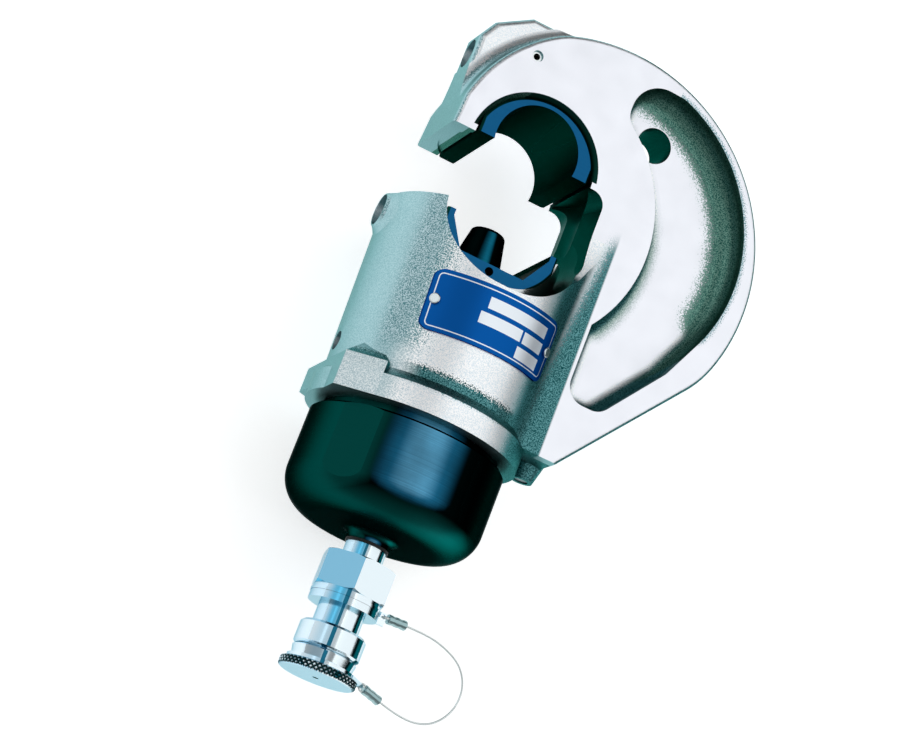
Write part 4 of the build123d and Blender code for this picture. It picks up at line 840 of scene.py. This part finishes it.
def makeFerrule(name, node, body, end, nextPoint, sheetNormal, spec):
    # sleeve: a tube along the wire's end, rounded at its ends, pinched in an oval at each crimp
    run = (end - nextPoint) / np.linalg.norm(end - nextPoint)
    share = np.linspace(0, 1, spec["rows"])
    path = end + share[:, None] * run * spec["lengthMm"] * mm
    travel = share * spec["lengthMm"]
    edge = np.minimum(travel, spec["lengthMm"] - travel) / spec["edgeMm"]
    radius = spec["radiusMm"] - spec["edgeMm"] * np.clip(1 - edge, 0, 1) ** 2
    pinch = sum(np.exp(-((travel - at * spec["lengthMm"]) / spec["crimpWidthMm"]) ** 2)
                for at in spec["crimpsAt"])
    turn = np.linspace(0, 2 * np.pi, spec["sides"], endpoint=False)
    radii = radius[:, None] - spec["crimpDepthMm"] * pinch[:, None] * np.cos(turn)[None, :] ** 2
    mesh = surfaceMesh(name, tubeAlong(path, radii * mm, spec["sides"]), sharpDeg=50)
    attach(addPiece(name, mesh, "ferrule_metal", [node]), body)
    # eye: a ring of wire, a circle carried round a circle that stands square to the sheet it hooks
    eyeMiddle = end + run * (spec["lengthMm"] + spec["eyeRadiusMm"] - spec["eyeOverlapMm"]) * mm
    up = sheetNormal - run * (sheetNormal @ run)
    up = up / np.linalg.norm(up)
    side = np.cross(run, up)
    around = np.linspace(0, 2 * np.pi, spec["eyeSteps"], endpoint=False)
    radial = np.cos(around)[:, None] * run + np.sin(around)[:, None] * up
    tube = np.linspace(0, 2 * np.pi, spec["eyeSides"], endpoint=False)
    offset = np.cos(tube)[None, :, None] * radial[:, None] + np.sin(tube)[None, :, None] * side
    ring = eyeMiddle + radial[:, None] * spec["eyeRadiusMm"] * mm + offset * lanyard["radiusMm"] * mm
    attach(addPiece(name + "Eye", surfaceMesh(name + "Eye", ring, loopRows=True), "wire", []), body)


makeFerrule("upperFerrule", "upper_ferrule", "head", routePoints[0], routePoints[1],
            np.array((0, 0, 1.0)), ferrule)
makeFerrule("lowerFerrule", "lower_ferrule", "cap_ring", routePoints[-1], routePoints[-2],
            np.array((0, 1.0, 0)), ferrule)
print("ferrules made")

# dust cap: half profile in millimetres from its open end, radius and depth, with a knurled rim
dustCap = {
    "boreMm": 9.05,
    "boreDepthMm": 5.85,
    "boreEdgeMm": 0.3,
    "sleeveMm": 11.3,
    "sleeveEdgeMm": 0.4,
    "sleeveFootMm": 10.6,
    "grooveTopMm": 3.5,
    "grooveMm": 10.0,
    "discTopMm": 5.0,
    "rimMm": 13.7,
    "rimEdgeMm": 0.45,
    "lengthMm": 8.3,
    "pipMm": 1.1,
    "pipRingMm": 0.1,  # a ring as narrow as this keeps the pip's edge crisp
    "pipTip": 0.35,  # radius at its bottom, as a share
    "pipDepthMm": 0.5,
    "knurls": 46,
    "knurlRows": 21,
    "knurlDepthMm": 0.5,
    "columnsPerKnurl": 8,
}


def makeDustCap(spec):
    # a profile turned about the tool's axis; on the rim the lower of two slanting triangle waves
    # lifts each point out of the knurl's root, so that they cross in diamonds
    columns = spec["knurls"] * spec["columnsPerKnurl"]
    turn = np.linspace(0, 2 * np.pi, columns, endpoint=False)
    rimTop = spec["discTopMm"] + spec["rimEdgeMm"]
    rimFoot = spec["lengthMm"] - spec["rimEdgeMm"]
    rimDepth = np.linspace(rimTop, rimFoot, spec["knurlRows"])
    rimRoot = spec["rimMm"] - spec["rimEdgeMm"] - spec["knurlDepthMm"]
    before = [
        (spec["boreMm"], spec["boreDepthMm"]),
        (spec["boreMm"], spec["boreEdgeMm"]),
        (spec["boreMm"] + spec["boreEdgeMm"], 0),
        (spec["sleeveMm"] - spec["sleeveEdgeMm"], 0),
        (spec["sleeveMm"], spec["sleeveEdgeMm"]),
        (spec["sleeveFootMm"], spec["grooveTopMm"]),
        (spec["grooveMm"], spec["grooveTopMm"]),
        (spec["grooveMm"], spec["discTopMm"]),
        (rimRoot, spec["discTopMm"]),
    ]
    after = [
        (rimRoot, spec["lengthMm"]),
        (spec["pipMm"] + spec["pipRingMm"], spec["lengthMm"]),
        (spec["pipMm"], spec["lengthMm"]),
        (spec["pipMm"] * spec["pipTip"], spec["lengthMm"] - spec["pipDepthMm"]),
    ]
    profile = np.array(before + [(spec["rimMm"], depth) for depth in rimDepth] + after)
    radii = np.repeat(profile[:, :1], columns, axis=1)
    pitch = 2 * np.pi * spec["rimMm"] / spec["knurls"]
    slant = (rimDepth - rimTop)[:, None] / pitch
    around = turn[None, :] * spec["knurls"] / (2 * np.pi)
    waveUp = 1 - np.abs(2 * ((around + slant) % 1) - 1)
    waveDown = 1 - np.abs(2 * ((around - slant) % 1) - 1)
    height = np.minimum(waveUp, waveDown)
    onRim = slice(len(before), len(before) + len(rimDepth))
    radii[onRim] -= spec["knurlDepthMm"] * (1 - height)
    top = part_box("dust_cap")[1].y
    depths = np.repeat(top - profile[:, 1:] * mm, columns, axis=1)
    grid = np.stack([radii * mm * np.sin(turn), depths, radii * mm * np.cos(turn)], axis=-1)
    mesh = surfaceMesh("dustCap", grid, sharpDeg=30)
    rootShade = np.zeros(len(mesh.vertices))
    rootRows = rootShade[:grid.shape[0] * columns].reshape(-1, columns)
    rootRows[onRim] = 1 - height
    rootRows[-2:] = 1  # painted shade: the pip is dark inside
    rootShade[-1] = 1
    mesh.attributes.new("knurlRootShade", "FLOAT", "POINT").data.foreach_set("value", rootShade)
    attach(addPiece("dustCap", mesh, "coupler_zinc", ["dust_cap"]), "dust_cap")


makeDustCap(dustCap)
print("dust cap made")

# coil springs: wire and turns, the body that each sits in, the joint that presses it, and the end that stays
springs = {
    "return_spring": {"wireMm": 2.4, "turns": 6, "body": "head", "joint": "ram_stroke", "axis": 1,
                      "fixed": "high"},
    "detent_spring": {"wireMm": 0.6, "turns": 4, "body": "ram", "joint": "lower_die_detent_dip", "axis": 1,
                      "fixed": "low"},
    "release_spring": {"wireMm": 1.0, "turns": 5, "body": "head", "joint": "upper_die_release", "axis": 0,
                       "fixed": "high"},
    "poppet_spring": {"wireMm": 0.7, "turns": 7, "body": "head", "joint": "coupler_valve", "axis": 1,
                      "fixed": "high"},
}
coil = {"stepsPerTurn": 40, "closedSlope": 0.25, "sides": 12}


def makeSpring(node, spec):
    # a helix whose slope is gentle over the first and last turn, so that the ends lie closed
    low, high = (np.array(corner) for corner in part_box(node))
    axis = spec["axis"]
    wire = spec["wireMm"] * mm
    sideA, sideB = [k for k in range(3) if k != axis]
    radius = (high[sideA] - low[sideA] - wire) / 2
    middle = (low + high) / 2
    turn = np.linspace(0, 2 * np.pi * spec["turns"], spec["turns"] * coil["stepsPerTurn"])
    fromEnd = np.clip(np.minimum(turn, turn[-1] - turn) / (2 * np.pi), 0, 1)
    slope = coil["closedSlope"] + fromEnd ** 2 * (3 - 2 * fromEnd)
    climb = np.concatenate([[0], np.cumsum((slope[1:] + slope[:-1]) / 2)])
    length = high[axis] - low[axis]
    path = np.zeros((len(turn), 3))
    path[:, axis] = low[axis] + wire / 2 + climb / climb[-1] * (length - wire)
    path[:, sideA] = middle[sideA] + radius * np.cos(turn)
    path[:, sideB] = middle[sideB] + radius * np.sin(turn)
    radii = np.full((len(turn), 1), wire / 2)
    mesh = surfaceMesh(node + "Coil", tubeAlong(path, radii, coil["sides"]), sharpDeg=60)
    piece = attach(addPiece(node + "Coil", mesh, "spring_steel", [node]), spec["body"])
    anchor = np.array(middle)
    anchor[axis] = high[axis] if spec["fixed"] == "high" else low[axis]
    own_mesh(piece)


for node, spec in springs.items():
    makeSpring(node, spec)
print("springs made:", len(springs))

# floor and lights
studio = {
    "floorSpan": 4.0,
    "floorDropMm": 0.3,
    "floorColour": "#F4F6F6",
    "floorRoughness": 0.9,
    "floorGlow": 0.6,
    "worldLight": 0.42,  # the room's level on the light side and on the dark side
    "worldDark": 0.05,
    "worldDarkTowards": (0.75, 0.66, 0.0),
    "worldTurn": (-0.4, 0.6),  # where the light side ends and the dark side begins
    "softboxes": {  # place, aim, size and how bright its face is
        "topSoftbox": ((0.85, 0.33, 1.1), (0, -0.06, 0), (2.1, 1.7), 1.0),
        "overheadCard": ((-0.5, 0.15, 1.5), (-0.05, -0.06, 0), (1.6, 1.6), 0.38),
        "leftCard": ((-1.2, 0.3, 0.5), (0, -0.06, 0), (1.2, 1.6), 0.45),
    },
}


def makeFloor(spec):
    mesh = bpy.data.meshes.new("floor")
    span = spec["floorSpan"]
    level = cadLow.z - spec["floorDropMm"] * mm
    corners = [(-span, -span, level), (span, -span, level), (span, span, level), (-span, span, level)]
    mesh.from_pydata(corners, [], [(0, 1, 2, 3)])
    floor = bpy.data.objects.new("floor", mesh)
    bpy.context.scene.collection.objects.link(floor)
    # matt white paper: the glow that only the eye and the metal see lifts it to white, its shadow stays
    paper, tree, shader = newMaterial("mattWhitePaper",
                                      {"Base Color": linearColour(spec["floorColour"]),
                                       "Roughness": spec["floorRoughness"], "Emission Color": (1, 1, 1, 1)})
    rays = addNode(tree, "ShaderNodeLightPath", {}, {})
    seen = rays.outputs["Is Camera Ray"]
    for ray in ("Is Glossy Ray", "Is Transmission Ray"):
        seen = addNode(tree, "ShaderNodeMath", {"operation": "MAXIMUM"},
                       {0: seen, 1: rays.outputs[ray]}).outputs[0]
    glow = addNode(tree, "ShaderNodeMath", {"operation": "MULTIPLY"}, {0: seen, 1: spec["floorGlow"]})
    tree.links.new(glow.outputs[0], shader.inputs["Emission Strength"])
    mesh.materials.append(paper)


def softbox(name, place, aim, size, radiance):
    light = bpy.data.lights.new(name, "AREA")
    light.shape = "RECTANGLE"
    light.size, light.size_y = size
    light.energy = radiance * math.pi * size[0] * size[1]
    lamp = bpy.data.objects.new(name, light)
    bpy.context.scene.collection.objects.link(lamp)
    lamp.location = place
    lamp.rotation_euler = (Vector(aim) - Vector(place)).to_track_quat("-Z", "Y").to_euler()


makeFloor(studio)
for name, lamp in studio["softboxes"].items():
    softbox(name, *lamp)


def makeWorld(spec):  # a grey room, light on one side and dark on the other
    world = bpy.data.worlds.new("studio")
    bpy.context.scene.world = world
    world.use_nodes = True
    tree = world.node_tree
    direction = addNode(tree, "ShaderNodeTexCoord", {}, {}).outputs["Generated"]
    sideways = addNode(tree, "ShaderNodeVectorMath", {"operation": "DOT_PRODUCT"},
                       {0: direction, 1: spec["worldDarkTowards"]})
    lightEnd, darkStart = spec["worldTurn"]
    level = addNode(tree, "ShaderNodeMapRange", {"interpolation_type": "SMOOTHSTEP"},
                    {"Value": sideways.outputs["Value"], "From Min": lightEnd, "From Max": darkStart,
                     "To Min": spec["worldLight"], "To Max": spec["worldDark"]})
    tree.nodes["Background"].inputs["Color"].default_value = (1, 1, 1, 1)
    tree.links.new(level.outputs["Result"], tree.nodes["Background"].inputs["Strength"])


makeWorld(studio)
print("floor and lights set")

bpy.context.scene.view_settings.view_transform = "Standard"
